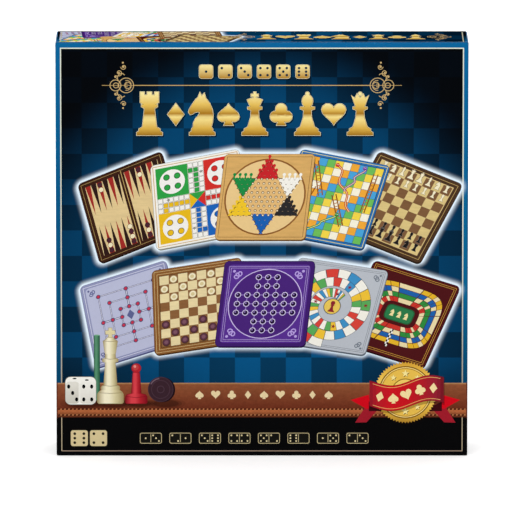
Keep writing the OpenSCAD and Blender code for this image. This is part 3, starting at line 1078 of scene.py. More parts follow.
def ladder_board(artist: Artist) -> None:
    """Prints a board of ten by ten coloured squares with ladders and snakes.

    Args:
        artist: Who draws it.
    """
    tones = ("#f3d64b", "#4aa3d8", "#f7f2dc", "#6dbb5a", "#f0a93a")
    ground(artist, "#2b6fb0", "#f5e27a", 0.8, 2.0)
    artist.fill(inset(4.4), "#244a70")
    for j in range(10):
        for i in range(10):
            x, y = 5 + 9 * i, 5 + 9 * j
            artist.fill(box(x + 0.2, y + 0.2, x + 8.8, y + 8.8), tones[(i * 2 + j * 3) % 5])
    for (x0, y0), (x1, y1) in (((14, 12), (26, 62)), ((68, 22), (50, 56)), ((86, 42), (88, 88)),
                               ((36, 52), (20, 90))):
        length = math.dist((x0, y0), (x1, y1))
        pen = artist.moved(slanted((x0, y0), ((x1 - x0) / length, (y1 - y0) / length),
                                   ((y0 - y1) / length, (x1 - x0) / length), 1.0))
        for side in (2.2, -2.2):
            pen.line([(0, side), (length, side)], 1.3, "#8a4f1c")
        for k in range(4, 4 * int(length / 4), 4):
            pen.line([(k, 2.2), (k, -2.2)], 0.9, "#b56f2c")
    for (x0, y0), (x1, y1), tone in (((44, 90), (72, 40), "#c8352c"), ((60, 34), (30, 8), "#2f8a3e"),
                                     ((74, 92), (60, 62), "#7a3fa0")):
        points = []
        for t in (k / 18 for k in range(19)):
            sway = 3.4 * math.sin(t * 4 * math.pi) * (1 - 0.5 * t)
            points.append((x0 + (x1 - x0) * t + sway, y0 + (y1 - y0) * t + sway * 0.4))
        artist.line(points, 2.6, tone)
        artist.line(points, 0.7, "#f4e3a0")
        artist.fill(circle(x0, y0, 2.4, 10), tone)
        for side in (-0.9, 0.9):
            artist.fill(circle(x0 + side, y0 + 0.6, 0.5, 6), WHITE)


def merels_board(artist: Artist) -> None:
    """Prints three nested squares joined at their middles, on slate blue.

    Args:
        artist: Who draws it.
    """
    artist.fill(inset(0), "#8f93b8")
    artist.fill(rounded(5, 5, 95, 95, 4, 3), "#b9bcd6")
    artist.line(inset(3), 0.7, "#e9e9f4", True)
    scroll_corners(artist, 7, 11, "#5d6290")
    for by in (18, 29, 40):
        for width, tone in ((2.2, "#3d4270"), (0.8, "#eceaf6")):
            artist.line(inset(by), width, tone, True)
    for k in range(4):
        pen = artist.at(50, 50, 1, math.pi / 2 * k)
        for width, tone in ((2.2, "#3d4270"), (0.8, "#eceaf6")):
            pen.line([(10, 0), (32, 0)], width, tone)
        for r in (10, 21, 32):
            for y in (0, r):
                pen.discs(r, y, 12, (2.6, "#3d4270"), (1.7, "#c7364a"))
    artist.at(50, 44, 12).stamp(suit("diamond"), "#5d6290")


def ludo_board(artist: Artist) -> None:
    """Prints a cross-shaped race track between four coloured yards.

    Args:
        artist: Who draws it.
    """
    artist.fill(inset(0), "#f2efe6")
    for k, tone in enumerate(("#2f9e44", "#e7b91f", "#1e63b8", "#d1302b")):
        pen = artist.at(50, 50, 90 / 15, math.pi / 2 * k)
        pen.fill(box(-7.5, 1.5, -1.5, 7.5), tone)
        pen.fill(circle(-4.5, 4.5, 2.4, 24), WHITE)
        for x, y in ((-5.5, 5.5), (-3.5, 5.5), (-5.5, 3.5), (-3.5, 3.5)):
            pen.discs(x, y, 12, (0.62, INK_BLACK), (0.52, tone))
        pen.fill([(-1.5, 1.5), (0, 0), (1.5, 1.5)], tone)
        for i in range(3):
            for j in range(6):
                x, y = -1.5 + i, 1.5 + j
                pen.fill(box(x + 0.04, y + 0.04, x + 0.96, y + 0.96), "#6a6a66")
                home = (i == 1 and j < 5) or (i == 0 and j == 4)
                pen.fill(box(x + 0.1, y + 0.1, x + 0.9, y + 0.9), tone if home else WHITE)
        pen.at(1.0, 5.05, 0.8).fill(star(0, 0.5, 0.5, 0.22), "#8a8a84")
    artist.line(inset(2.4), 1.0, "#c58f2a", True)


def solitaire_board(artist: Artist) -> None:
    """Prints the cross of thirty-three holes on purple.

    Args:
        artist: Who draws it.
    """
    artist.fill(inset(0), "#3f1f6b")
    artist.fill(rounded(4, 4, 96, 96, 5, 3), "#57308f")
    for by in (6.0, 8.0):
        artist.line(inset(by), 0.5, "#c9b7e6", True)
    scroll_corners(artist, 10, 14, "#b79fe0")
    pen = artist.at(50, 50, 10.4)
    pen.discs(0, 0, 40, (3.95, "#c9b7e6"), (3.85, "#482577"))
    holes = [(i, j) for i in range(-3, 4) for j in range(-3, 4) if min(abs(i), abs(j)) < 2]
    for i, j in holes:
        for onward in ((i + 1, j), (i, j + 1)):
            if onward in holes:
                pen.line([(i, j), onward], 0.08, "#9d84cc")
        pen.discs(i, j, 12, (0.34, "#d8cbee"), (0.26, "#1f1033"))
        pen.fill(circle(i - 0.07, j + 0.08, 0.1, 6), "#8a74b8")


def goose_board(artist: Artist) -> None:
    """Prints a track of sixty-three fields that winds in to the middle.

    Args:
        artist: Who draws it.
    """
    ground(artist, "#b9bec6", "#5c636e", 0.5, 2.6, 4.4)
    scroll_corners(artist, 5.5, 11, "#6e7682")
    tones = ("#f4f1e6", "#d8443a", "#f4f1e6", "#3f8fc4", "#f4f1e6", "#efc23a", "#5aa95a")
    turns, count = 2.6, 63

    def along(t: float, side: float) -> Point:
        """Gives a point of the track at share t of its length."""
        return polar(50, 50, 43 - 30 * t + side * 5.0, math.tau * (-0.25 - turns * (1 - (1 - t) ** 1.35)))

    for k in range(count):
        t0, t1 = k / count, (k + 0.94) / count
        inner, outer = ([along(t0 + (t1 - t0) * i / 3, side) for i in range(4)] for side in (-1, 1))
        step = inner + outer[::-1]
        artist.fill(widen(step, 0.4), "#3f4650")
        artist.fill(step, tones[k % 7])
        if k % 9 == 4:
            artist.fill(star(*along((t0 + t1) / 2, 0), 2.6, 1.1), "#8a2430")
    artist.discs(50, 50, 28, (9.5, "#3f4650"), (8.7, "#e9c75a"))
    artist.at(50, 43.5, 13).stamp(chessman("pawn"), "#8a2430")


def backgammon_board(artist: Artist, men: bool) -> None:
    """Prints twenty-four long points on either side of a bar.

    Args:
        artist: Who draws it.
        men: Whether discs lie on them.
    """
    wood = artist.on(Finish.WOOD)
    ground(wood, "#3a2016", "#c8a765", 0.5, 3.0)
    for x0 in (7.0, 53.0):
        wood.fill(box(x0, 7, x0 + 40, 93), "#e0c690")
        for k in range(6):
            x = x0 + 40 / 6 * k
            for odd, low, way in ((0, 7.0, 1), (1, 93.0, -1)):
                point = [(x + 0.3, low), (x + 6.4, low), (x + 3.35, low + 36 * way)]
                artist.fill(point[::way], "#9e2b26" if (k + odd) % 2 else "#2c1a17")
                count = 2 + (k + odd) % 3 if men and (k * 5 + odd * 3) % 4 == 1 else 0
                for n in range(count):
                    tone = "#efe3bd" if (k + n) % 2 == odd else "#4a2631"
                    artist.discs(x + 3.35, low + (3.3 + 6.2 * n) * way, 12, (3.1, "#1c1110"), (2.7, tone))
    artist.line([(50, 4), (50, 96)], 0.7, "#c8a765")


def race_board(artist: Artist) -> None:
    """Prints an oval race course of four lanes on dark red.

    Args:
        artist: Who draws it.
    """
    ground(artist, "#4c1518", "#d9a441", 0.6, 3.0, 5.0)
    fields = 28

    def oval(k: float, r: float) -> Point:
        """Gives the point k fields round the course and r from its inner line."""
        c, s = (math.copysign(abs(v) ** 0.5, v) for v in polar(0, 0, 1, math.tau * k / fields))
        return 50 + (19 + r) * c, 50 + (11 + r) * s

    for lane, tone in enumerate(("#c8352c", "#2f8a3e", "#1f5fa8", "#e3b32c")):
        near, far = 2 + 5.5 * lane, 6.9 + 5.5 * lane
        for k in range(fields):
            turns = (k + 0.54, k + 1, k + 1.46)
            piece = [oval(turn, near) for turn in turns] + [oval(turn, far) for turn in turns[::-1]]
            artist.fill(piece, tone if (k + lane) % 3 else "#ead9a8")
    artist.fill(rounded(34, 41, 66, 59, 5, 3), "#1d5c36")
    artist.fill(rounded(35, 42, 65, 58, 4.4, 3), "#2c7a49")
    for k in range(3):
        artist.at(42 + 8 * k, 46, 8).stamp(chessman("knight"), "#f0dfa0")
    chequer(artist, box(48.4, 11, 51.6, 31.8), 2, 8, WHITE, INK_BLACK)


@dataclass(frozen=True)
class BoardArt:
    """One printed board face: its drawing, the colour of its edge, and whether its game is set out."""

    drawing: Callable[..., None]
    edge: str
    men: bool | None = None

    def draw(self, artist: Artist) -> None:
        """Prints the face on a square of 100 by 100.

        Args:
            artist: Who draws it.
        """
        if self.men is None:
            self.drawing(artist)
        else:
            self.drawing(artist, self.men)


ARTS = {"ladders": BoardArt(ladder_board, "#1a3f66"), "merels": BoardArt(merels_board, "#4d517c"),
        "ludo": BoardArt(ludo_board, "#8a8a80"), "solitaire": BoardArt(solitaire_board, "#251040"),
        "goose": BoardArt(goose_board, "#5c636e"), "race": BoardArt(race_board, "#2a0b0d")}
for game, drawing, rim in (("chess", chess_board, "#2b1d13"), ("draughts", draughts_board, "#4a2f16"),
                           ("star", star_board, "#6b4a22"), ("backgammon", backgammon_board, "#1f110b")):
    ARTS[game] = BoardArt(drawing, rim, False)
    ARTS[game + "_with_men"] = BoardArt(drawing, rim, True)


def gilded(artist: Artist, motif: Motif, size: float, tones: Stops = GOLD) -> None:
    """Prints a motif in shaded gold with a pale outline and a dark shadow.

    Args:
        artist: Who draws it, its unit the motif's height.
        motif: The shapes, one unit high.
        size: The motif's height in millimetres.
        tones: The gold from the motif's foot to its top.
    """
    unit = 1 / size
    shadow = artist.moved(lambda p: (p[0] + 0.7 * unit, p[1] - 0.9 * unit))
    shadow.stamp(motif, ink("#02101c", 0.75), 0.5 * unit)
    artist.stamp(motif, "#f7ecc0", 0.4 * unit)
    artist.stamp(motif, "#6d4d16", 0.16 * unit)
    low, high = artist.place((0, 0))[1], artist.place((0, 1))[1]
    artist.stamp(motif, lambda p: ramp(tones, (p[1] - low) / (high - low)))


def gold_row(pen: Artist, names: Sequence[str], spot: Callable[[int], Point], man: float, small: float,
             lift: float) -> None:
    """Prints chessmen with suits between them in gold.

    Args:
        pen: Who draws them.
        names: Chessmen and suits by turns.
        spot: Gives the foot of each.
        man: The height of a chessman.
        small: The height of a suit.
        lift: How far a suit stands over its foot.
    """
    for k, name in enumerate(names):
        x, y = spot(k)
        if k % 2:
            gilded(pen.at(x, y + lift, small), suit(name), small)
        else:
            gilded(pen.at(x, y, man), chessman(name), man)


def scroll(pen: Artist, x: float, y: float, side: int) -> None:
    """Prints scrollwork about a point of a gold rule.

    Args:
        pen: Who draws it.
        x: Its middle.
        y: The rule's height.
        side: 1 with the wide loop to the right, -1 to the left.
    """
    gold = "#c9ab74"
    for flip in (1, -1):
        hand = pen.moved(lambda p: (x + side * p[0], y + flip * p[1]))
        for path, width in (
                (arc(-3.7, 0, 3.6, -0.02, 0.52, 10), 0.5), (arc(-3.4, 0, 1.7, -0.25, 0.6, 8), 0.45),
                (arc(3.3, 0, 4.9, -0.02, 0.55, 12), 0.5), (spiral(3.9, 0, 3.4, 0.8, -0.3, 0.8, 14), 0.45),
                (spiral(0.6, 5.2, 3.2, 2.4, 0.62, 0.12, 10), 0.5),
                (spiral(-1.4, 8.3, 2.2, 0.7, -0.3, 0.7, 12), 0.5),
                (spiral(1.6, 12.2, 1.9, 0.6, -0.5, 0.65, 12), 0.45),
                (spiral(-3.6, 5.6, 1.4, 0.4, -0.2, 0.8, 8), 0.4)):
            hand.line(path, width, gold)
        for u, v in ((-1.4, 8.3), (1.6, 12.2), (-3.6, 5.6), (1.2, 15.0)):
            hand.fill(circle(u, v, 0.65, 8), gold)


@dataclass
class ChequerField:
    """The blue chequered ground, which darkens towards the upper corners."""

    width: float
    low: float
    high: float
    square: float = 16.7
    rise: float = 16.92
    start: Point = (-101.2, 234.9)

    def shade(self, at: Point) -> float:
        """Gives how bright the ground is at a point, from 0 to 1.

        Args:
            at: The point.

        Returns:
            Its brightness.
        """
        across, up = at[0] ** 2, at[1] - self.high
        reach = 28 + 0.0012 * across
        light = 1 + 0.55 * math.exp(-across / 6400 - ((at[1] - self.low - 22) / 34) ** 2)
        light *= 1 - 0.3 * (across / self.width ** 2 * 4) ** 2
        light *= 1 - 0.97 * shelf(-reach, reach, up + 0.0046 * across + 13)
        return light * (1 - 0.4 * (1 - shelf(self.low, self.low + 18, at[1])) * across / 17000)

    def draw(self, sheet: PrintSheet, shade: Callable[[Point], float] | None = None) -> None:
        """Prints the ground on a sheet and adds the lines that its shading needs.

        Args:
            sheet: The sheet.
            shade: Gives the brightness at a point; the ground's own if left out.
        """
        lit, half, (x0, y0) = shade or self.shade, self.width / 2, self.start
        first = math.floor((-half - x0) / self.square), math.floor((self.low - y0) / self.rise + 0.01)
        last = math.ceil((half - x0) / self.square), math.ceil((self.high - y0) / self.rise)
        for i in range(first[0], last[0]):
            for j in range(first[1], last[1]):
                x, y = x0 + i * self.square, y0 + j * self.rise
                tone = ink(("#032c48", "#04426b")[(i + j + 1) % 2])[:3]
                sheet.artist().fill(box(max(x, -half), max(y, self.low), min(x + self.square, half),
                                        min(y + self.rise, self.high)),
                                    lambda p, tone=tone: tuple(v * lit(p) for v in tone) + (1.0,))
        xs = [x0 + self.square / 3 * k for k in range(3 * first[0] + 1, 3 * last[0])]
        ys = [y0 + self.rise / 3 * k for k in range(3 * first[1] + 1, 3 * last[1])]
        xs, ys = [x for x in xs if abs(x) < half], [y for y in ys if self.low < y < self.high]
        sheet.uprights(min(ys), max(ys), xs)
        sheet.levels(min(xs), max(xs), ys)


@dataclass
class PicturedBoard:
    """A small board on the print: what it shows, where its middle is, its side and its turn."""

    art: BoardArt
    centre: Point
    side: float
    turn: float
    lean: float = 0.12
    reach: float = 5.2
    core: float = 1.2
    corner: float = 6.0

    def place(self) -> Place:
        """Gives the map from the board's 100 by 100 units to the sheet.

        Returns:
            The map.
        """
        c, s = self.side * math.cos(self.turn), self.side * math.sin(self.turn)
        up = ((-s + self.lean * self.side) * 0.96, c * 0.96)
        return slanted((self.centre[0] - (c + up[0]) / 2, self.centre[1] - (s + up[1]) / 2), (c, s), up)

    def off(self, at: Point) -> float:
        """Gives how far a point of the sheet lies outside the board's edge, in millimetres.

        Args:
            at: The point.

        Returns:
            The distance, below 0 inside.
        """
        place = self.place()
        origin, across, up = (Vector(place(p)) for p in ((0, 0), (1, 0), (0, 1)))
        across, up, spot = across - origin, up - origin, Vector(at) - origin
        turn = across.cross(up)
        beyond = [abs(share / turn - 50) - 50 + self.corner for share in (spot.cross(up), across.cross(spot))]
        return (math.hypot(*(max(b, 0) for b in beyond)) - self.corner) * self.side / 100

    def glow(self, artist: Artist) -> None:
        """Prints the light round the board, which fades outwards; the inner rings only cut the sheet.

        Args:
            artist: Who draws it.
        """
        pen = artist.moved(self.place())
        tone, fade, rings = ink("#e4f3ff")[:3], self.reach - self.core, 6

        def light(at: Point) -> Colour:
            """Gives the light's colour and strength at a point."""
            return tone + (min(max((self.reach - self.off(at)) / fade, 0.0), 1.0) ** 2.4,)

        for k in range(rings + 1):
            r = (self.reach - fade * k / rings) * 100 / self.side
            pen.fill(rounded(-r, -r, 100 + r, 100 + r, self.corner + r, 5), CLEAR if k else light)

    def draw(self, artist: Artist) -> None:
        """Prints the board's edge and its face, whose ground gets the board's round corners.

        Args:
            artist: Who draws it.
        """
        pen = artist.moved(self.place())
        per, edge = 100 / self.side, self.art.edge
        pen.moved(lambda p: (p[0] + 0.5 * per, p[1] - 1.1 * per)).fill(rounded(0, 0, 100, 100, 5), edge)
        pen.fill(rounded(-0.4, -0.4, 100.4, 100.4, 5.4), edge)
        face = Artist([])
        self.art.draw(face)
        face.patches[0].outline = rounded(0, 0, 100, 100, 5)
        for patch in face.patches:
            pen.on(patch.finish).fill(patch.outline, patch.paint)


def light_boards(pen: Artist, boards: Sequence[PicturedBoard]) -> None:
    """Prints some pictured boards over the light behind them all.

    Args:
        pen: Who draws them.
        boards: The boards, the lowest first.
    """
    for board in boards:
        board.glow(pen)
    for board in boards:
        board.draw(pen)


def turned_tone(dark: str, mid: str, light: str, middle: float, radius: float) -> Paint:
    """Gives the shading of an upright turned piece lit from its left front."""
    stops = ((-1.0, dark), (-0.45, light), (-0.1, light), (0.35, mid), (1.0, dark))
    return lambda p: ramp(stops, (p[0] - middle) / radius)


@dataclass
class PieceGroup:
    """The game pieces pictured on the band: a die, a king, a pawn, a draughts disc and a pick-up stick."""

    sheet: PrintSheet
    floor: float = 35.0

    def draw(self) -> None:
        """Prints the group at the lower left of the cover."""
        pen = self.sheet.artist()
        for x, w in ((-118.5, 12.5), (-99.0, 11.5), (-82.0, 9.5), (-64.5, 10.5)):
            for k, alpha in ((1.25, 0.16), (1.0, 0.28), (0.8, 0.4)):
                pen.fill(circle(x + 1.5, self.floor, w * k, 24, 0.28), ink("#120604", alpha))
        self.stick(-108.3, 80.5, 2.0)
        self.king(-99.5)
        self.disc(-66.5, 8.4)
        self.die(-119.0)
        self.pawn(-82.5)

    def stick(self, x: float, top: float, r: float) -> None:
        """Prints a blunt green stick that stands on end.

        Args:
            x: Its axis.
            top: Its upper end.
            r: Its radius.
        """
        pen = self.sheet.artist()
        pen.fill(box(x - r, self.floor + 2, x + r, top), turned_tone("#24503a", "#3a7354", "#5b9472", x, r))
        pen.fill(circle(x, top, r, 12, 0.25), "#6ea583")
        self.sheet.uprights(self.floor + 2, top, [x - 0.6])

    def shaded(self, x: float, profile: Sequence[Point], tones: tuple[str, str, str]) -> Artist:
        """Prints a turned piece from its profile.

        Args:
            x: Its axis.
            profile: Pairs of height over the floor and half width, in millimetres, one pair for each edge.
            tones: Its dark, middle and light inks.

        Returns:
            An artist whose origin is the piece's foot.
        """
        pen = self.sheet.artist().at(x, self.floor, 1)
        pen.fill(widen(lathe_outline(profile), 0.25), tones[0])
        cuts = (-1.0, -0.72, -0.45, -0.1, 0.12, 0.35, 0.7, 1.0)
        for (low, r0), (high, r1) in zip(profile, profile[1:]):
            paint = turned_tone(*tones, x, max(r0, r1))
            for a, b in zip(cuts, cuts[1:]):
                pen.fill([(a * r0, low), (b * r0, low), (b * r1, high), (a * r1, high)], paint)
        return pen

    def king(self, x: float) -> None:
        """Prints the ivory king.

        Args:
            x: Where its middle stands.
        """
        tones = ("#a08f62", "#dacfa2", "#f6eece")
        pen = self.shaded(x, (
            (0.0, 7.6), (0.9, 8.5), (6.2, 8.5), (7.8, 7.4), (9.2, 5.6), (9.6, 6.0), (10.6, 6.2), (11.6, 5.6),
            (12.2, 4.3), (27.4, 3.2), (27.9, 5.0), (29.6, 5.2), (30.2, 3.4), (33.0, 3.3), (41.6, 4.7),
            (42.4, 3.4), (44.5, 1.3)), tones)
        cross = [box(-1.1, 44.2, 1.1, 50.4), box(-3.0, 46.2, 3.0, 48.6)]
        pen.stamp(cross, tones[0], 0.25)
        pen.stamp(cross, "#e0d4a4")
        for level, r in ((7.2, 7.4), (12.0, 4.6), (30.0, 3.6), (41.8, 4.5)):
            pen.line([(-r, level), (0, level - 0.5), (r, level)], 0.4, ink("#7c6535", 0.7))

    def pawn(self, x: float) -> None:
        """Prints the red pawn: a disc foot, a tapered stem and a ball.

        Args:
            x: Where its middle stands.
        """
        dark, mid, light = "#7a0f1c", "#b3222e", "#d8414a"
        pen = self.shaded(x, ((0.0, 6.4), (0.7, 7.1), (4.6, 7.1), (6.0, 6.0), (6.6, 3.2), (20.6, 2.1)),
                          (dark, mid, light))
        pen.discs(0, 23.6, 20, (3.25, dark), (3.05, mid))
        pen.fill(circle(-0.5, 24.2, 2.1, 16), "#be3f40")
        pen.fill(circle(-0.9, 24.7, 0.9, 10), "#e88f88")
        pen.line([(-6.6, 4.7), (0, 3.9), (6.6, 4.7)], 0.4, ink(dark, 0.8))

    def disc(self, x: float, r: float) -> None:
        """Prints the plum draughts disc that stands on its rim.

        Args:
            x: Where its middle stands.
            r: Its radius.
        """
        pen = self.sheet.artist().at(x, self.floor + r + 1.0, r)
        pen.fill(circle(1.2 / r, -0.2 / r, 1, 32), "#1d0e14")
        pen.discs(0, 0, 32, (1.0, "#45303c"), (0.95, "#38232c"), (0.74, "#4a333f"), (0.69, "#38232c"),
                  (0.3, "#4a333f"), (0.24, "#38232c"))
        pen.fill(arc(0, 0, 0.92, 0.27, 0.42, 8) + arc(0, 0, 0.82, 0.27, 0.42, 8)[::-1], ink("#8c7080", 0.5))

    def die(self, x: float) -> None:
        """Prints a white die that shows two of its sides and its top.

        Args:
            x: Where its middle stands.
        """
        y, half, tall, turn = self.floor - 0.6, 10.0, 15.2, -0.8
        pen = self.sheet.artist().at(x, y, 1)
        pen.fill(rounded(-half - 0.3, -0.3, half + 0.3, tall + 3.4, 3.6, 5), "#7d7a70")
        pen.fill(rounded(-half, 0, half, tall + 3.1, 3.4, 5), "#f6f4ec")
        for x0, x1, low, high in ((-half, turn, "#c9c6ba", "#e4e1d6"), (turn, half, "#dedbd0", "#f2f0e8")):
            pen.fill(rounded(x0, 0.4, x1, tall, 2.6, 4),
                     lambda p, low=low, high=high: blend(low, high, (p[1] - y) / tall))
        pen.fill(box(turn - 0.6, 1.6, turn + 0.6, tall - 1.4), "#efede4")
        for middle, number in ((-5.3, 3), (4.6, 4)):
            for u, v in spots(number):
                pen.fill(circle(middle + 2.6 * u, tall / 2 + 4.3 * v, 1.05, 12, 1.35), INK_BLACK)
        for u, v in spots(2):
            pen.fill(circle(4.0 * u, tall + 1.55 + 0.5 * v, 1.3, 12, 0.38), INK_BLACK)


@dataclass
class Seal:
    """The gold seal with a red ribbon across it."""

    centre: Point = (94.2, 42.4)
    radius: float = 20.6
    metal: Stops = ((0.0, "#b0812a"), (0.25, "#e6b845"), (0.5, "#f8dd78"), (0.75, "#ecc04e"),
                    (1.0, "#d39c34"))
    silk: Stops = ((0.0, "#8f1a28"), (0.12, "#b81c28"), (0.3, "#cf1622"), (0.5, "#c8141f"), (0.72, "#b01c28"),
                   (0.9, "#922233"), (1.0, "#6f1420"))
    half: float = 8.6

    def draw(self, sheet: PrintSheet) -> None:
        """Prints the tails, the seal and the band of the ribbon.

        Args:
            sheet: The sheet that it is printed on.
        """
        pen, r, foot = sheet.artist().at(*self.centre, 1), self.radius, self.centre[1] - 21
        for side in (-1, 1):
            self.tail(pen, side)
        pen.fill(star(0.8, -1.2, r + 0.3, r - 1.5, 64), ink("#120604", 0.5))
        pen.fill(star(0, 0, r, r - 1.2, 64), lambda p: ramp(self.metal, (p[1] - foot) / 42))
        pen.discs(0, 0, 56, *((r * share, tone) for share, tone in (
            (0.85, "#7a5414"), (0.815, "#fbe08a"), (0.79, "#b5852a"), (0.76, "#eabf50"), (0.45, "#8f6a1e"),
            (0.42, "#f2cf66"))))
        for turn, size in ((-0.68, 2.1), (0, 2.6), (0.68, 2.1)):
            for up in (1, -1):
                x, y = polar(0, 0, 12.6, up * (math.pi / 2 + turn))
                pen.fill(star(x + 0.3, y - 0.4, size, 0.42 * size), "#6d4a12")
                pen.fill(star(x, y, size, 0.42 * size), "#f8e79a")
        self.band(pen, -23.6, 25.2)

    def wave(self, t: float) -> float:
        """Gives how high the ribbon's middle runs at a share of its width."""
        return -0.6 - 2.9 * math.sin(math.tau * (t - 0.06)) + 2.2 * (t - 0.5)

    def band(self, pen: Artist, x0: float, x1: float, n: int = 22) -> None:
        """Prints the ribbon's front band.

        Args:
            pen: An artist whose origin is the seal's middle.
            x0: The band's left end.
            x1: Its right end.
            n: The number of steps between them.
        """
        def run(shift: float, steps: Iterable[int] = range(n + 1)) -> Outline:
            """Gives a line along the band, raised by shift."""
            return [(x0 + (x1 - x0) * i / n, self.wave(i / n) + shift) for i in steps]

        low, high = run(-self.half), run(self.half)
        shadow = run(-self.half - 1.6) + high[::-1]
        pen.fill([(x + 0.6, y) for x, y in shadow], ink("#1c0605", 0.45))
        for i in range(n):
            pen.fill([low[i], low[i + 1], high[i + 1], high[i]], ramp(self.silk, (i + 0.5) / n))
        for side, width in ((0.2 - self.half, 0.4), (self.half - 0.2, 0.3)):
            pen.line(run(side), width, ink("#5c0f18", 0.7))
        for side in (1.5 - self.half, self.half - 1.5):
            pen.line(run(side, range(1, n)), 0.35, ink("#f0c070", 0.9))
        for k, name in enumerate(("diamond", "spade", "heart", "club", "diamond")):
            t = 0.14 + 0.18 * k
            tilt = math.atan2(self.wave(t + 0.03) - self.wave(t - 0.03), 0.06 * (x1 - x0))
            pen.at(x0 + (x1 - x0) * t, self.wave(t), 7.0, tilt).stamp(centred(suit(name)), "#f6dfa2")

    def tail(self, pen: Artist, side: int) -> None:
        """Prints one forked tail that comes from behind the band and hangs out and down.

        Args:
            pen: An artist whose origin is the seal's middle.
            side: -1 for the left one, 1 for the right one.
        """
        for tone, shape in (("#a01c2b", [(18.0, -11.5), (25.5, -20.0), (33.0, -20.2), (26.0, -9.0)]),
                            ("#d20a1c", [(23.0, -10.5), (25.5, -11.0), (36.0, -5.0), (24.0, -1.5)]),
                            ("#3a0a10", [(24.0, -6.0), (12.0, -12.5), (24.0, -12.5)])):
            pen.fill([(side * x, y) for x, y in shape][::side], tone)


@dataclass
class Cover:
    """The printed sheet on the front of the lid, and what its walls take over from it."""

    width: float
    height: float
    side_border: float = 3.1
    top_border: float = 3.7
    line: float = 0.75
    band_low: float = 25.7
    band_high: float = 48.75
    rule: float = 3.3

    def border_tone(self, at: Point) -> Colour:
        """Gives the border blue, darker near the leather band."""
        return ramp(((0.2, "#054366"), (0.38, "#08628f"), (1.0, "#0a6399")), at[1] / self.height)

    def draw(self, sheet: PrintSheet) -> None:
        """Prints the whole cover from its ground up.

        Args:
            sheet: The sheet that it is printed on.
        """
        half = self.width / 2
        pen = sheet.artist()
        pen.fill(box(-half, 0, half, self.height), self.border_tone)
        inner, top = half - self.side_border, self.height - self.top_border
        pen.fill(box(-inner, self.band_high, inner, top),
                 lambda p: blend("#a8a292", "#dfe4d2", p[1] / 90 - 0.6))
        ChequerField(2 * (inner - self.line), self.band_high, top - self.line).draw(sheet)
        self.leather(pen)
        self.foot(pen)
        self.titles(sheet)
        light_boards(pen, self.boards())
        PieceGroup(sheet).draw()
        Seal().draw(sheet)

    def leather(self, pen: Artist) -> None:
        """Prints the leather band with its rib, its two rows of stitches and a row of suits.

        Args:
            pen: Who draws it.
        """
        half, band = self.width / 2, pen.on(Finish.LEATHER)
        tones = ((self.band_low, "#4d2013"), (28.0, "#8a4c2c"), (30.3, "#b9683d"), (31.2, "#6a2d1b"),
                 (40.0, "#7f4229"), (47.6, "#8d5133"), (self.band_high, "#b98a5c"))
        for stretch in zip(tones, tones[1:]):
            (low, _), (high, _) = stretch
            band.fill(box(-half, low, half, high), lambda p, stretch=stretch: ramp(stretch, p[1]))
        for y in (27.3, 31.2):
            pen.line([(-half, y), (half, y)], 0.3, ink("#2c110a", 0.8))
            for k in range(int(self.width / 2.6)):
                x = -half + 1.0 + 2.6 * k
                pen.line([(x, y - 0.15), (x + 1.6, y + 0.15)], 0.75, "#34120a")
                pen.line([(x + 1.6, y), (x + 2.5, y + 0.1)], 0.6, "#cf8a58")
        for k in range(9):
            pen.at(-41.0 + 10.6 * k, 38.0, 5.6).stamp(suit(SUITS[k % 4]), "#e9d3a4")

    def foot(self, pen: Artist) -> None:
        """Prints the black foot: its gold line, two tiles at the left and a row of dominoes.

        Args:
            pen: Who draws it.
        """
        half = self.width / 2
        pen.fill(box(-half, 0, half, self.band_low), INK_BLACK)
        edge = half - self.side_border - self.line / 2
        for x in (-edge, edge):
            pen.line([(x, self.rule), (x, self.band_low)], 0.5, "#c4b496")
        pen.line([(-edge, self.rule), (edge, self.rule)], 0.55, "#a68f7c")
        middle = 11.8
        for x, number in ((-120.0, 6), (-107.4, 4)):
            pen.fill(rounded(x - 5.6, 6.5, x + 5.6, 17.1, 1.5, 4), "#dac898")
            for u, v in spots(number):
                pen.fill(circle(x + 3 * u, middle + 3 * v, 0.95, 10), "#2a2418")
        for k in range(8):
            x = -73.0 + 19.4 * k
            pen.fill(rounded(x - 7.2, middle - 3.6, x + 7.2, middle + 3.6, 1.2, 3), "#c9b98c")
            pen.fill(rounded(x - 6.8, middle - 3.2, x + 6.8, middle + 3.2, 0.9, 3), "#14130f")
            pen.line([(x, middle - 2.7), (x, middle + 2.7)], 0.4, "#c9b98c")
            for side, number in ((-3.4, k % 6 + 1), (3.4, (k * 5 + 3) % 7)):
                for u, v in spots(number):
                    pen.fill(circle(x + side + 1.9 * u, middle + 1.9 * v, 0.58, 8), "#ead9a8")

    def titles(self, sheet: PrintSheet) -> None:
        """Prints the two rows of gold motifs and the rule with its scrolls between them.

        Args:
            sheet: The sheet that it is printed on.
        """
        pen = sheet.artist()
        for k in range(6):
            die = pen.at(-36.5 + 12.6 * k, 251.2, 8.6)
            gilded(die, [rounded(-0.5, 0, 0.5, 1, 0.16, 3)], 8.6, SOFT_GOLD)
            for x, y in spots(k + 1):
                die.fill(circle(0.27 * x, 0.5 + 0.27 * y, 0.1, 10), "#0a2740")
        names = ("rook", "diamond", "knight", "spade", "king", "club", "bishop", "heart", "queen")
        low, size, rule = 213.5, 28.5, 246.4
        gold_row(pen, names, lambda k: (-73.5 + 17.2 * k, low), size, size / 2, 6.6)
        sheet.levels(-94, 84, (low + share * size for share in (0.1, 0.2, 0.32, 0.42, 0.5, 0.6, 0.72, 0.86)))
        for width, x0, x1 in ((0.3, -104.6, -84.0), (0.5, -84.0, 70.8), (0.3, 70.8, 91.4)):
            pen.fill(box(x0, rule - width / 2, x1, rule + width / 2), "#c8a668")
        scroll(pen, -92.0, rule, 1)
        scroll(pen, 78.8, rule, -1)

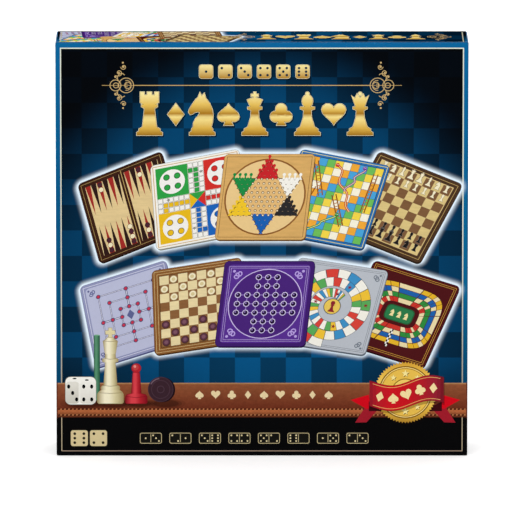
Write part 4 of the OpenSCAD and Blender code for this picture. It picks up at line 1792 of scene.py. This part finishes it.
    def boards(self) -> list[PicturedBoard]:
        """Gives the two fans of pictured boards, in drawing order.

        Returns:
            The boards.
        """
        fans = ((("backgammon_with_men", "ludo", "star_with_men", "ladders", "chess_with_men"), 165.5, 1.0),
                (("merels", "draughts_with_men", "solitaire", "goose", "race"), 94.5, 0.8))
        out: list[PicturedBoard] = []
        for names, level, spread in fans:
            for k in (0, 4, 1, 3, 2):
                centre = (2.0 + 44.0 * (k - 2), level + 7.0 * (1 - ((k - 2) / 2) ** 2))
                out.append(PicturedBoard(ARTS[names[k]], centre, 59.0, math.radians(22 - 11 * k) * spread))
        return out


@dataclass
class RigidHalf:
    """The printed wrap of one half of the box: panel, walls, rounded edges, rim and turn-in."""

    node: str
    panel_at_front: bool
    turn_in: float = 15.0
    wrap: float = 0.25
    skin: float = 1.75
    wall: float = 2.0
    fold: float = 0.9
    sunk: float = 0.05
    glue: float = 0.02

    def stations(self, depth: float) -> list[Point]:
        """Gives the wrap's way from the middle of its panel's outside, over the rim, to its inside.

        Args:
            depth: The half's depth.

        Returns:
            Pairs of inset from the outer walls and depth from the panel's plane, in millimetres.
        """
        fold, sunk, lip, wall = self.fold, self.sunk, self.wall / 2, self.wall
        quarter = [polar(0, 0, 1, math.pi / 2 * k / 4) for k in range(5)]
        out = [(sunk + fold * (1 - s), sunk + fold * (1 - c)) for c, s in quarter]
        out.append((sunk, depth - lip))
        out += [(sunk + (lip - sunk) * (1 - c), depth - lip + lip * s) for c, s in quarter[1:]]
        out += [(wall - (wall - lip) * (1 - s), depth - lip + lip * c) for c, s in quarter[1:]]
        board, floor = self.skin + self.glue, depth - self.wrap - self.glue
        return out + [(wall, depth - self.turn_in), (board, depth - self.turn_in), (board, floor),
                      (self.wrap, floor), (self.wrap, self.wrap)]

    def build(self, body: str, slot: str, edge: Material) -> None:
        """Lofts the shell and puts it in the place of the CAD wrap.

        Args:
            body: The body that it rides on.
            slot: The record's material slot.
            edge: Its material.
        """
        (x0, y0, z0), (x1, y1, z1) = corners(self.node)
        rings = []
        for by, depth in self.stations(y1 - y0):
            y = y0 + depth if self.panel_at_front else y1 - depth
            ring = rounded(x0 + by, z0 + by, x1 - by, z1 - by, max(1.0 - by, 0.06), 3)
            rings.append([(x, y, z) for x, z in ring])
        carving = Carving()
        carving.rings(rings[::-1] if self.panel_at_front else rings)
        mount(carving.piece(self.node + "_shell", edge, smooth=False), body, slot, self.node)


@dataclass
class Box:
    """The lid and the base of the box, with their printed sheets."""

    materials: Materials
    flat: float = 0.97
    rim: float = 0.6

    def __post_init__(self) -> None:
        """Reads the outer corners of the lid from the frame."""
        self.low, self.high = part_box("lid_wrap")
        self.width, self.depth, self.height = ((b - a) / MM for a, b in zip(self.low, self.high))
        self.cover = Cover(self.width, self.height)

    def build(self) -> None:
        """Builds both wraps and every printed face."""
        ink_edge = WrapEdge("lid_wrap_edge", self.cover.band_low, self.cover.band_high, self.height).make()
        RigidHalf("lid_wrap", True).build("lid", "printed_wrap", ink_edge)
        RigidHalf("base_wrap", False).build("base", "black_wrap", self.materials.stock(BLACK_PAPER))
        half, flat, deep, rim, tall = self.width / 2, self.flat, self.depth, self.rim, self.height
        (_, front, foot), (_, rear, top) = self.low, self.high
        middle, edge = (front + rear) / 2, half * MM
        right, up = (1, 0, 0), (0, 0, 1)
        for name, draw, panel, outline in (
                ("cover", self.cover.draw, Panel((0, front, foot), right, up),
                 box(flat - half, flat, half - flat, tall - flat)),
                ("top", self.top, Panel((0, front, top), right, (0, 1, 0)),
                 box(flat - half, flat, half - flat, deep - rim)),
                ("left", self.side, Panel((-edge, middle, foot), (0, -1, 0), up),
                 box(rim - deep / 2, flat, deep / 2 - flat, tall - flat)),
                ("right", self.side, Panel((edge, middle, foot), (0, 1, 0), up),
                 box(flat - deep / 2, flat, deep / 2 - rim, tall - flat)),
                ("under", self.under, Panel((0, front, foot), right, (0, -1, 0)),
                 box(flat - half, rim - deep, half - flat, -flat))):
            sheet = PrintSheet("lid_print_" + name, panel, outline, matt=name == "top")
            draw(sheet)
            sheet.build(self.materials, "lid", "printed_wrap")
        self.back()

    def top(self, sheet: PrintSheet) -> None:
        """Prints the upper wall of the lid: a close fan of boards on the left, gold motifs on the right.

        Args:
            sheet: The sheet that it is printed on.
        """
        half, deep, border = self.width / 2, self.depth, 2.6
        pen = sheet.artist()
        backdrop = ChequerField(2 * half, 0.0, deep, start=(-131.2, -5.0))
        backdrop.draw(sheet, lambda p: 1.2 - 0.85 * shelf(0, 125, p[0]))
        fan = (("merels", -124, 39, 14), ("ladders", -110, 11, -16), ("solitaire", -98, 41, 10),
               ("star", -84, 9, 13), ("ludo", -72, 38, -12), ("race", -60, 10, 16),
               ("draughts_with_men", -48, 40, 12), ("chess", -40, 11, -14))
        light_boards(pen, [PicturedBoard(ARTS[name], (x, y), 41.0, math.radians(turn))
                           for name, x, y, turn in fan])
        blues = ((3.0, "#0a6399"), (14.0, "#06364f"), (28.0, "#050709"))
        for side in (-1, 1):
            edge, line = side * (half - border / 2), side * (half - border - 0.9)
            pen.fill(box(edge - border / 2, 0, edge + border / 2, deep), lambda p: ramp(blues, p[1]))
            pen.line([(line, 0), (line, deep - 4.6)], 0.7, "#b9b49c")
        pen.fill(box(-half, deep - 3.4, half, deep), "#050608")
        start, step, low, size = 3.0, 12.2, deep / 2 - 11.5, 20.0
        names = ("king", "heart", "rook", "spade", "knight", "diamond", "queen", "club", "bishop")
        gold_row(pen, names, lambda k: (start + step * k, low), size, 0.56 * size, 0.19 * size)
        self.shades(sheet, start - step / 2, start + step * 8.5, low, size)
        for x, side in ((-13.0, 1), (116.5, -1)):
            scroll(pen, x, deep / 2 - 1.5, side)

    def shades(self, sheet: PrintSheet, x0: float, x1: float, low: float, size: float) -> None:
        """Cuts a row of gold motifs where its shade changes."""
        sheet.levels(x0, x1, (low + share * size for share in (0.2, 0.42, 0.5, 0.72)))

    def side(self, sheet: PrintSheet) -> None:
        """Prints the left or right wall of the lid.

        Args:
            sheet: The sheet that it is printed on.
        """
        half, tall, cover = self.depth / 2, self.height, self.cover
        pen = sheet.artist()
        pen.fill(box(-half, 0, half, tall), cover.border_tone)
        pen.fill(box(-half + 3.1, 40, half - 3.1, tall - 3.5), "#ead7a6")
        backdrop = ChequerField(2 * (half - 3.8), cover.band_high, tall - 4.2, start=(-8.35, 234.9))
        backdrop.draw(sheet, lambda p: 1 - 0.75 * shelf(150, 275, p[1]))
        cover.leather(pen)
        pen.fill(box(-half, 0, half, cover.band_low), INK_BLACK)
        pen.line([(-half, cover.rule), (half, cover.rule)], 0.55, "#a68f7c")
        names = ("king", "spade", "knight", "heart", "rook", "club", "queen", "diamond", "bishop")
        low, step, size = 60.0, 22.6, 17.5
        gold_row(pen, names, lambda k: (0, low + step * k), size, 10.0, 3.5)
        for k in range(len(names)):
            self.shades(sheet, -9, 9, low + step * k, size)

    def under(self, sheet: PrintSheet) -> None:
        """Prints the lower wall of the lid, which the box stands on.

        Args:
            sheet: The sheet that it is printed on.
        """
        half, deep = self.width / 2, self.depth
        pen = sheet.artist()
        pen.fill(box(-half, -deep, half, 0), INK_BLACK)
        pen.line(box(5.2 - half, 5.2 - deep, half - 5.2, -5.2), 0.45, "#b98446", True)
        for k in range(9):
            pen.at(-80 + 20 * k, -deep / 2 - 4, 8).stamp(suit(SUITS[k % 4]), "#9a7a3c")

    def back(self) -> None:
        """Prints the back of the base: a dark chequer with a gold rule and a round of suits."""
        (x0, _, z0), (x1, y1, z1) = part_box("base_wrap")
        half, tall = (x1 - x0) / MM / 2, (z1 - z0) / MM
        sheet = PrintSheet("base_print_back", Panel((0, y1, z0), (-1, 0, 0), (0, 0, 1)),
                           box(self.flat - half, self.flat, half - self.flat, tall - self.flat))
        pen = sheet.artist()
        pen.fill(box(-half, 0, half, tall), "#0c0f14")
        chequer(pen, box(9 - half, 9, half - 9, tall - 9), 15, 15, "#0d1c29", "#0c0f14")
        for by, width in ((7.0, 0.6), (8.4, 0.3)):
            pen.line(box(by - half, by, half - by, tall - by), width, "#a8853f", True)
        pen = pen.at(0, tall / 2, 1)
        pen.discs(0, 0, 72, (46, "#a8853f"), (45.4, "#0a1722"), (42.5, "#a8853f"), (42.2, "#0c1e2c"))
        for k, name in enumerate(SUITS * 2):
            turn = math.tau * (k / 8 + 0.25)
            pen.at(*polar(0, 0, 31, turn), 11, turn - math.pi / 2).stamp(centred(suit(name)), "#c9a557")
        pen.at(0, -17, 34).stamp(chessman("king"), "#c9a557")
        sheet.build(self.materials, "base", "black_wrap")


@dataclass
class PlayBoard:
    """One double-sided board: the prints on its front and back."""

    node: str
    body: str
    front: str
    back: str
    corner: float = 12.0
    thick: float = 0.08

    def build(self, materials: Materials) -> None:
        """Lays a thin printed sheet on both faces of the board.

        Args:
            materials: The box's finishes.
        """
        low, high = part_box(self.node)
        half, tall = (high[0] - low[0]) / MM / 2, (high[2] - low[2]) / MM
        for tag, art, y, right in (("front", self.front, low[1], 1), ("back", self.back, high[1], -1)):
            corner = ((low[0] + high[0]) / 2, y - self.thick * MM * right, low[2])
            sheet = PrintSheet(f"{self.body}_{tag}_print", Panel(corner, (right, 0, 0), (0, 0, 1)),
                               rounded(-half, 0, half, tall, self.corner, 8), self.thick)
            ARTS[art].draw(sheet.artist().moved(slanted((-half, 0), (2 * half, 0), (0, tall))))
            sheet.build(materials, self.body, "board_print")


@dataclass
class Pile:
    """Thin sheets in a pile behind a printed one, each a little out of line with the last."""

    node: str
    body: str
    slot: str
    stock: Stock
    count: int
    inset: float
    corner: float
    steps: int
    share: float
    jitter: float
    seed: int

    def tree(self, material: Material, values: dict[str, float]) -> NodeTree:
        """Builds the Geometry Nodes tree that repeats one sheet along Y.

        Args:
            material: The sheets' material.
            values: The tree's inputs by name.

        Returns:
            The tree.
        """
        group = bpy.data.node_groups.new("sheet_stack", "GeometryNodeTree")
        for name in ("Geometry", *values):
            kind = {"Geometry": "Geometry", "Count": "Int", "Seed": "Int"}.get(name, "Float")
            group.interface.new_socket(name, in_out="INPUT", socket_type="NodeSocket" + kind)
        group.interface.new_socket("Geometry", in_out="OUTPUT", socket_type="NodeSocketGeometry")
        tree = Tree(group)
        given = tree.add("NodeGroupInput").outputs
        rise = tree.add("ShaderNodeCombineXYZ", {"Y": given["Pitch"]}).outputs[0]
        line = tree.add("GeometryNodeMeshLine", {"Count": given["Count"], "Offset": rise}).outputs[0]
        ends = [tree.add("ShaderNodeCombineXYZ", {"X": value, "Z": value}).outputs[0]
                for value in (tree.maths("MULTIPLY", given["Jitter"], -1.0), given["Jitter"])]
        shift = tree.add("FunctionNodeRandomValue", {"Min": ends[0], "Max": ends[1], "Seed": given["Seed"]},
                         data_type="FLOAT_VECTOR").outputs[0]
        feet = tree.add("GeometryNodeSetPosition", {"Geometry": line, "Offset": shift}).outputs[0]
        each = tree.add("GeometryNodeInstanceOnPoints",
                        {"Points": feet, "Instance": given["Geometry"]}).outputs[0]
        real = tree.add("GeometryNodeRealizeInstances", {0: each}).outputs[0]
        paint = tree.add("GeometryNodeSetMaterial", {"Geometry": real, "Material": material}).outputs[0]
        tree.add("NodeGroupOutput", {0: paint})
        return group

    def pile(self, name: str, materials: Materials) -> None:
        """Piles the sheets as a plain mesh in the place of the CAD node.

        Args:
            name: The piece's name.
            materials: The box's finishes.
        """
        (x0, y0, z0), (x1, y1, z1) = corners(self.node)
        pitch, by = (y1 - y0) / self.count, self.inset
        outline = rounded(x0 + by, z0 + by, x1 - by, z1 - by, self.corner, self.steps)
        carving = Carving()
        carving.rings([[(x, y, z) for x, z in outline] for y in (y0 + pitch * self.share, y0)])
        material = materials.stock(self.stock)
        sheet = carving.piece("sheet", material, smooth=False)
        values = {"Count": self.count, "Pitch": pitch * MM, "Jitter": self.jitter * MM, "Seed": self.seed}
        modifier = sheet.modifiers.new("stack", "NODES")
        modifier.node_group = self.tree(material, values)
        for item in modifier.node_group.interface.items_tree:
            if item.in_out == "INPUT" and item.name in values:
                modifier[item.identifier] = values[item.name]
        mesh = bpy.data.meshes.new_from_object(sheet.evaluated_get(bpy.context.evaluated_depsgraph_get()))
        bpy.data.objects.remove(sheet)
        mesh.name = name
        mount(show(name, mesh), self.body, self.slot, self.node)

    def front(self, name: str, outline: Outline, gap: float, depth: float) -> PrintSheet:
        """Gives the printed sheet that lies on the pile.

        Args:
            name: The sheet's name.
            outline: Its outline.
            gap: How far it stands before the pile.
            depth: Its thickness.

        Returns:
            The sheet, still blank.
        """
        panel = Panel((0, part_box(self.node)[0][1] - gap * MM, 0), (1, 0, 0), (0, 0, 1))
        return PrintSheet(name, panel, outline, depth)


class CardPack(Pile):
    """Fifty-four playing cards in a pile, the top one showing its back pattern."""

    def __init__(self) -> None:
        """Takes the sizes of the cards."""
        super().__init__(node="card_pack", body="cards", slot="card_stock", stock=CARD_STOCK, count=54,
                         inset=0.25, corner=3.5, steps=5, share=0.86, jitter=0.25, seed=7)

    def build(self, materials: Materials) -> None:
        """Piles the cards and prints the pattern on the front one.

        Args:
            materials: The box's finishes.
        """
        self.pile("playing_cards", materials)
        (x0, _, z0), (x1, _, z1) = corners(self.node)
        red, pale, by = "#a3202a", "#f0d9d0", self.inset
        sheet = self.front("card_back_print",
                           rounded(x0 + by, z0 + by, x1 - by, z1 - by, self.corner, self.steps), 0.05, 0.04)
        pen = sheet.artist()
        pen.fill(box(x0, z0, x1, z1), WHITE)
        pen.fill(rounded(x0 + 4, z0 + 4, x1 - 4, z1 - 4, 2.2, 4), red)
        pen.line(rounded(x0 + 5.4, z0 + 5.4, x1 - 5.4, z1 - 5.4, 1.4, 3), 0.4, pale, True)
        columns, rows = 18, 11
        for i in range(columns):
            for j in range(rows):
                u = x0 + 8.5 + (x1 - x0 - 17) * (i + 0.5) / columns
                v = z0 + 8 + (z1 - z0 - 16) * (j + 0.5) / rows
                pen.fill(circle(u, v, 1.5 if (i + j) % 2 else 0.8, 4), pale)
        middle = ((x0 + x1) / 2, (z0 + z1) / 2)
        pen.discs(*middle, 32, (9, pale), (8.4, red))
        pen.at(*middle, 10).stamp(centred(suit("spade")), pale)
        sheet.build(materials, self.body, self.slot)


class Booklet(Pile):
    """The rules booklet: folded sheets inside a printed cover."""

    def __init__(self) -> None:
        """Takes the sizes of the leaves."""
        super().__init__(node="rules_booklet", body="booklet", slot="booklet_paper", stock=BOOK_PAPER,
                         count=6, inset=0.1, corner=0.6, steps=2, share=0.9, jitter=0.08, seed=3)

    def build(self, materials: Materials) -> None:
        """Piles the leaves and prints the cover.

        Args:
            materials: The box's finishes.
        """
        self.pile("booklet_leaves", materials)
        (x0, _, z0), (x1, _, z1) = corners(self.node)
        by, band, square = self.inset, z1 - 62, 12.3
        sheet = self.front("booklet_cover_print", box(x0 + by, z0 + by, x1 - by, z1 - by), 0.06, 0.05)
        pen = sheet.artist()
        pen.fill(box(x0, z0, x1, z1), "#e9e5d8")
        chequer(pen, box(x0, band, x1, band + 3 * square), 12, 3, "#0b4a73", "#083452")
        for y in (band - 1.6, band + 3 * square):
            pen.fill(box(x0, y, x1, y + 1.6), "#b8934a")
        for k, name in enumerate(("king", "knight", "rook", "pawn")):
            pen.at((x0 + x1) / 2 - 42 + 28 * k, band + 7, 24).stamp(chessman(name), "#ead7a6")
        for k in range(16):
            y = band - 18 - 7.2 * k
            pen.fill(box(x0 + 18, y, x1 - 18 - (k * 37 % 5) * 6, y + 1.1), "#b9b5aa")
        sheet.build(materials, self.body, self.slot)


@dataclass
class Knights:
    """The two knights of one side: a turned foot under a carved head with ears, mane, cheeks and eyes."""

    side: str
    stock: Stock
    head: Sequence[Point] = (
        (-0.54, 0.0), (0.58, 0.0), (0.62, 0.1), (0.52, 0.28), (0.38, 0.38), (0.36, 0.44), (0.6, 0.42),
        (0.78, 0.4), (0.86, 0.43), (0.94, 0.5), (0.93, 0.58), (0.84, 0.68), (0.62, 0.78), (0.42, 0.87),
        (0.34, 0.93), (0.24, 1.02), (0.14, 0.94), (0.02, 0.95), (-0.1, 0.92), (-0.14, 0.86), (-0.28, 0.86),
        (-0.32, 0.79), (-0.44, 0.78), (-0.47, 0.7), (-0.57, 0.68), (-0.58, 0.59), (-0.65, 0.56),
        (-0.63, 0.46), (-0.68, 0.42), (-0.65, 0.3), (-0.66, 0.16))

    def build(self, materials: Materials) -> None:
        """Carves both knights where the CAD has them.

        Args:
            materials: The box's finishes.
        """
        node = f"{self.side}_knights"
        low, high = corners(node)
        r = (high[1] - low[1]) / 2
        tall = (high[2] - low[2] + 1) / 1.02
        neck = 0.34 * tall
        foot = [(0.98, 0.0), (1, 0.4), (1, 2.2), (0.96, 2.8), (0.86, 3.5), (0.85, 4.8), (0.78, 5.6),
                (0.62, 6.4), (0.57, 0.7 * neck), (0.56, neck - 2.1), (0.67, neck - 1.4), (0.7, neck - 0.9),
                (0.69, neck - 0.3), (0.6, neck)]
        carving = Carving()
        for x in (low[0] + r, high[0] - r):
            spot = (x, low[1] + r, low[2])
            carving.turned([(share * r, z) for share, z in foot],
                           lambda *p, spot=spot: [a + b for a, b in zip(spot, p)])
            self.carve(carving, (*spot[:2], low[2] + neck - 1), r, tall - neck)
        mount(carving.piece(node + "_carved", materials.stock(self.stock)), f"{self.side}_chessmen",
              self.stock.name, node)

    def carve(self, carving: Carving, spot: Triple, r: float, span: float) -> None:
        """Adds one head: a side view with rounded edges that narrows upwards, and what is on its sides.

        Args:
            carving: The solids so far.
            spot: The middle of the neck.
            r: The foot's radius.
            span: The head's height.
        """
        x, y, z = spot

        def half(v: float) -> float:
            """Gives half the head's thickness at a share of its height."""
            return r * (0.48 - 0.12 * v / 0.6 if v < 0.6 else 0.36 - 0.18 * (v - 0.6) / 0.42)

        side = [(u * r, v * span) for u, v in self.head]
        rings = []
        for turn in (-80, -50, -20, 20, 50, 80):
            c, s = polar(0, 0, 1, math.radians(turn))
            ring = widen(side, -0.9 * (1 - c))
            rings.append([(x + u, y + s * half(v / span), z + v) for u, v in reversed(ring)])
        carving.rings(rings)
        for u, v, size, out in ((0.34, 0.7, 0.9, 0.5), (0.84, 0.53, 0.55, 0.35), (0.1, 0.56, 2.4, 0.55)):
            for flank in (-1, 1):
                stages = ((1.0, -0.9), (0.92, 0.3 * out), (0.6, 0.8 * out), (0.2, out))[::flank]
                carving.rings([[(x + u * r + a, y + flank * (half(v) + d), z + v * span + b)
                                for a, b in circle(0, 0, size * s, 12)[::-1]] for s, d in stages])


@dataclass
class DiscRoll:
    """Fifteen draughtsmen that lie face to face: each has a rounded rim, a sunk face and a raised ring."""

    shade: str
    stock: Stock
    count: int = 15
    gap: float = 0.12

    def build(self, materials: Materials) -> None:
        """Turns every disc of the roll.

        Args:
            materials: The box's finishes.
        """
        node = self.shade + "_discs"
        low, high = corners(node)
        r = (high[2] - low[2]) / 2
        y, z = (low[1] + high[1]) / 2, (low[2] + high[2]) / 2
        step = (high[0] - low[0] + self.gap) / self.count
        face = [(0.05, 0.5), (0.3, 0.5), (0.36, 0.15), (0.46, 0.15), (0.52, 0.5), (0.74, 0.5), (0.8, 0.0),
                (0.93, 0.0), (0.97, 0.16), (0.995, 0.55), (1.0, 1.0)]
        profile = [(r * a, b) for a, b in face] + [(r * a, step - self.gap - b) for a, b in reversed(face)]
        carving = Carving()
        for k in range(self.count):
            carving.turned(profile, lambda u, v, w, start=low[0] + k * step: (start + w, y + u, z + v), 40)
        mount(carving.piece(node + "_turned", materials.stock(self.stock)), self.shade + "_draughts",
              self.stock.name, node)


@dataclass
class Dominoes:
    """The spots and the middle bars of the double-six set, in raised ink."""

    columns: int = 7
    step: float = 20.5
    pitch: float = 7.3
    spot: float = 1.5

    def build(self, materials: Materials) -> None:
        """Puts the spots and the bar on the front of every domino.

        Args:
            materials: The box's finishes.
        """
        low, high = corners("dominoes")
        tall, front = high[2] - low[2], high[1] - self.pitch + 0.3
        carving = Carving()
        for k, (a, b) in enumerate((a, b) for a in range(7) for b in range(a + 1)):
            x = low[0] + (self.step - 0.5) / 2 + (k % self.columns) * self.step
            y = front - (k // self.columns) * self.pitch
            marks = [(5 * u, tall * share + 5 * v, 1.0, 1.0) for number, share in ((a, 0.25), (b, 0.75))
                     for u, v in spots(number)]
            for u, v, across, up in marks + [(0, tall / 2, 5.4, 0.3)]:
                carving.rings([[(x + u + across * p, y - out, low[2] + v + up * q)
                                for p, q in circle(0, 0, r, 12)]
                               for r, out in ((self.spot, -0.02), (self.spot * 0.7, 0.09))])
        piece = carving.piece("domino_spots", materials.stock(PLASTICS["black"]), smooth=False)
        mount(piece, "domino_set", "black_plastic")


def dress_nodes(materials: Materials) -> None:
    """Gives every CAD node that stays its own finish.

    Args:
        materials: The box's finishes.
    """
    stocks = {**PLASTICS, "board": BOARD_EDGE, "lid_board": GREYBOARD, "base_board": GREYBOARD,
              "booklet_staples": STAPLE, "piece_tray": TRAY, "light_discs": PLASTICS["ivory"],
              "dark_discs": PLASTICS["plum"], "dominoes": PLASTICS["ivory"]}
    low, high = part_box("dice")
    dice = DiceWhite("dice_plastic", (high[2] - low[2]) / MM, 14.5).make(low)
    for name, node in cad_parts.items():
        ivory = name.startswith("white_") and not name.endswith("pegs")
        stock = stocks.get(name) or stocks.get("ivory" if ivory else name.split("_")[0])
        if stock or name == "dice":
            material = materials.stock(stock) if stock else dice
            node.data.materials.clear()
            node.data.materials.append(material)
            LOG.info("%s: %s", name, material.name)


@dataclass
class Studio:
    """The pale floor, the soft lights and the camera."""

    distance: float = 6.2637
    height: float = 1.2231
    pitch: float = 0.17226
    focal_px: float = 9706.3
    aside: float = -0.0039
    frame_px: int = 512
    room: float = 0.55

    def build(self) -> None:
        """Makes the floor, the world, the lamps and the camera."""
        self.floor()
        self.world()
        for name, place, aim, size, watts in (
                ("key", (-0.9, -1.9, 1.5), (0, 0, 0.13), 1.4, 16.0),
                ("fill", (1.2, -1.7, 0.9), (0, 0, 0.13), 1.6, 9.0),
                ("top", (0.1, 0.5, 1.9), (0, 0, 0.1), 1.6, 5.0),
                ("rear", (0.3, 2.2, 1.2), (0, 0, 0.15), 1.6, 16.0)):
            light = bpy.data.lights.new(name, "AREA")
            light.size = size
            light.energy = watts
            lamp = show(name, light)
            lamp.location = place
            lamp.rotation_euler = (Vector(aim) - Vector(place)).to_track_quat("-Z", "Y").to_euler()
            lamp.visible_camera = False
        lens = bpy.data.cameras.new("camera")
        lens.lens = self.focal_px / self.frame_px * lens.sensor_width
        camera = show("camera", lens)
        camera.location = (self.aside, CAD_BOUNDS[0][1] - self.distance, self.height)
        camera.rotation_euler = (math.pi / 2 - self.pitch, 0, 0)
        bpy.context.scene.camera = camera
        bpy.context.scene.view_settings.view_transform = "Standard"

    def floor(self) -> None:
        """Lays the pale floor, which keeps the shadow and turns white further off."""
        nodes = Nodes("floor")
        nodes.set(Base_Color=(0.9, 0.9, 0.9, 1), Roughness=0.9, Specular_IOR_Level=0.05)
        away = nodes.add("ShaderNodeVectorMath", {0: nodes.place()}, operation="LENGTH").outputs["Value"]
        reach = {"Value": away, "From Min": 0.3, "From Max": 2.5, "To Min": 0.42, "To Max": 0.8}
        white = nodes.add("ShaderNodeMapRange", reach, interpolation_type="SMOOTHSTEP").outputs[0]
        strength = nodes.maths("MULTIPLY", white, nodes.seen())
        glow = nodes.add("ShaderNodeEmission", {"Strength": strength}).outputs[0]
        both = nodes.add("ShaderNodeAddShader", {0: nodes.shader.outputs[0], 1: glow}).outputs[0]
        nodes.feed(nodes.tree.nodes["Material Output"], {0: both})
        make_mesh("floor", [Vector((x, y, 0)) for x, y in box(-9, -9, 9, 9)], [[0, 1, 2, 3]],
                           [nodes.material])

    def world(self) -> None:
        """Lights the room softly and shows white where the floor ends."""
        world = bpy.data.worlds.new("room")
        world.use_nodes = True
        bpy.context.scene.world = world
        tree = Tree(world.node_tree)
        tree.feed(tree.tree.nodes["Background"], {"Color": (1, 1, 1, 1),
                                                  "Strength": tree.span(tree.seen(), self.room, 1.0)})


BOARDS = (PlayBoard("board_star_and_snakes", "star_board", "star", "ladders"),
          PlayBoard("board_chess_and_racetrack", "chess_board", "chess", "race"),
          PlayBoard("board_merels_and_draughts", "merels_board", "merels", "draughts"),
          PlayBoard("board_ludo_and_solitaire", "ludo_board", "ludo", "solitaire"),
          PlayBoard("board_goose_and_backgammon", "goose_board", "goose", "backgammon"))


def main() -> None:
    """Builds the compendium from its box inwards."""
    logging.basicConfig(level=logging.INFO, format="%(name)s: %(message)s")
    materials = Materials()
    Studio().build()
    dress_nodes(materials)
    Box(materials).build()
    for part in (*BOARDS, Booklet(), CardPack(), Dominoes(), Knights("white", PLASTICS["ivory"]),
                 Knights("black", PLASTICS["black"]), DiscRoll("light", PLASTICS["ivory"]),
                 DiscRoll("dark", PLASTICS["plum"])):
        part.build(materials)


if __name__ == "__main__":
    main()
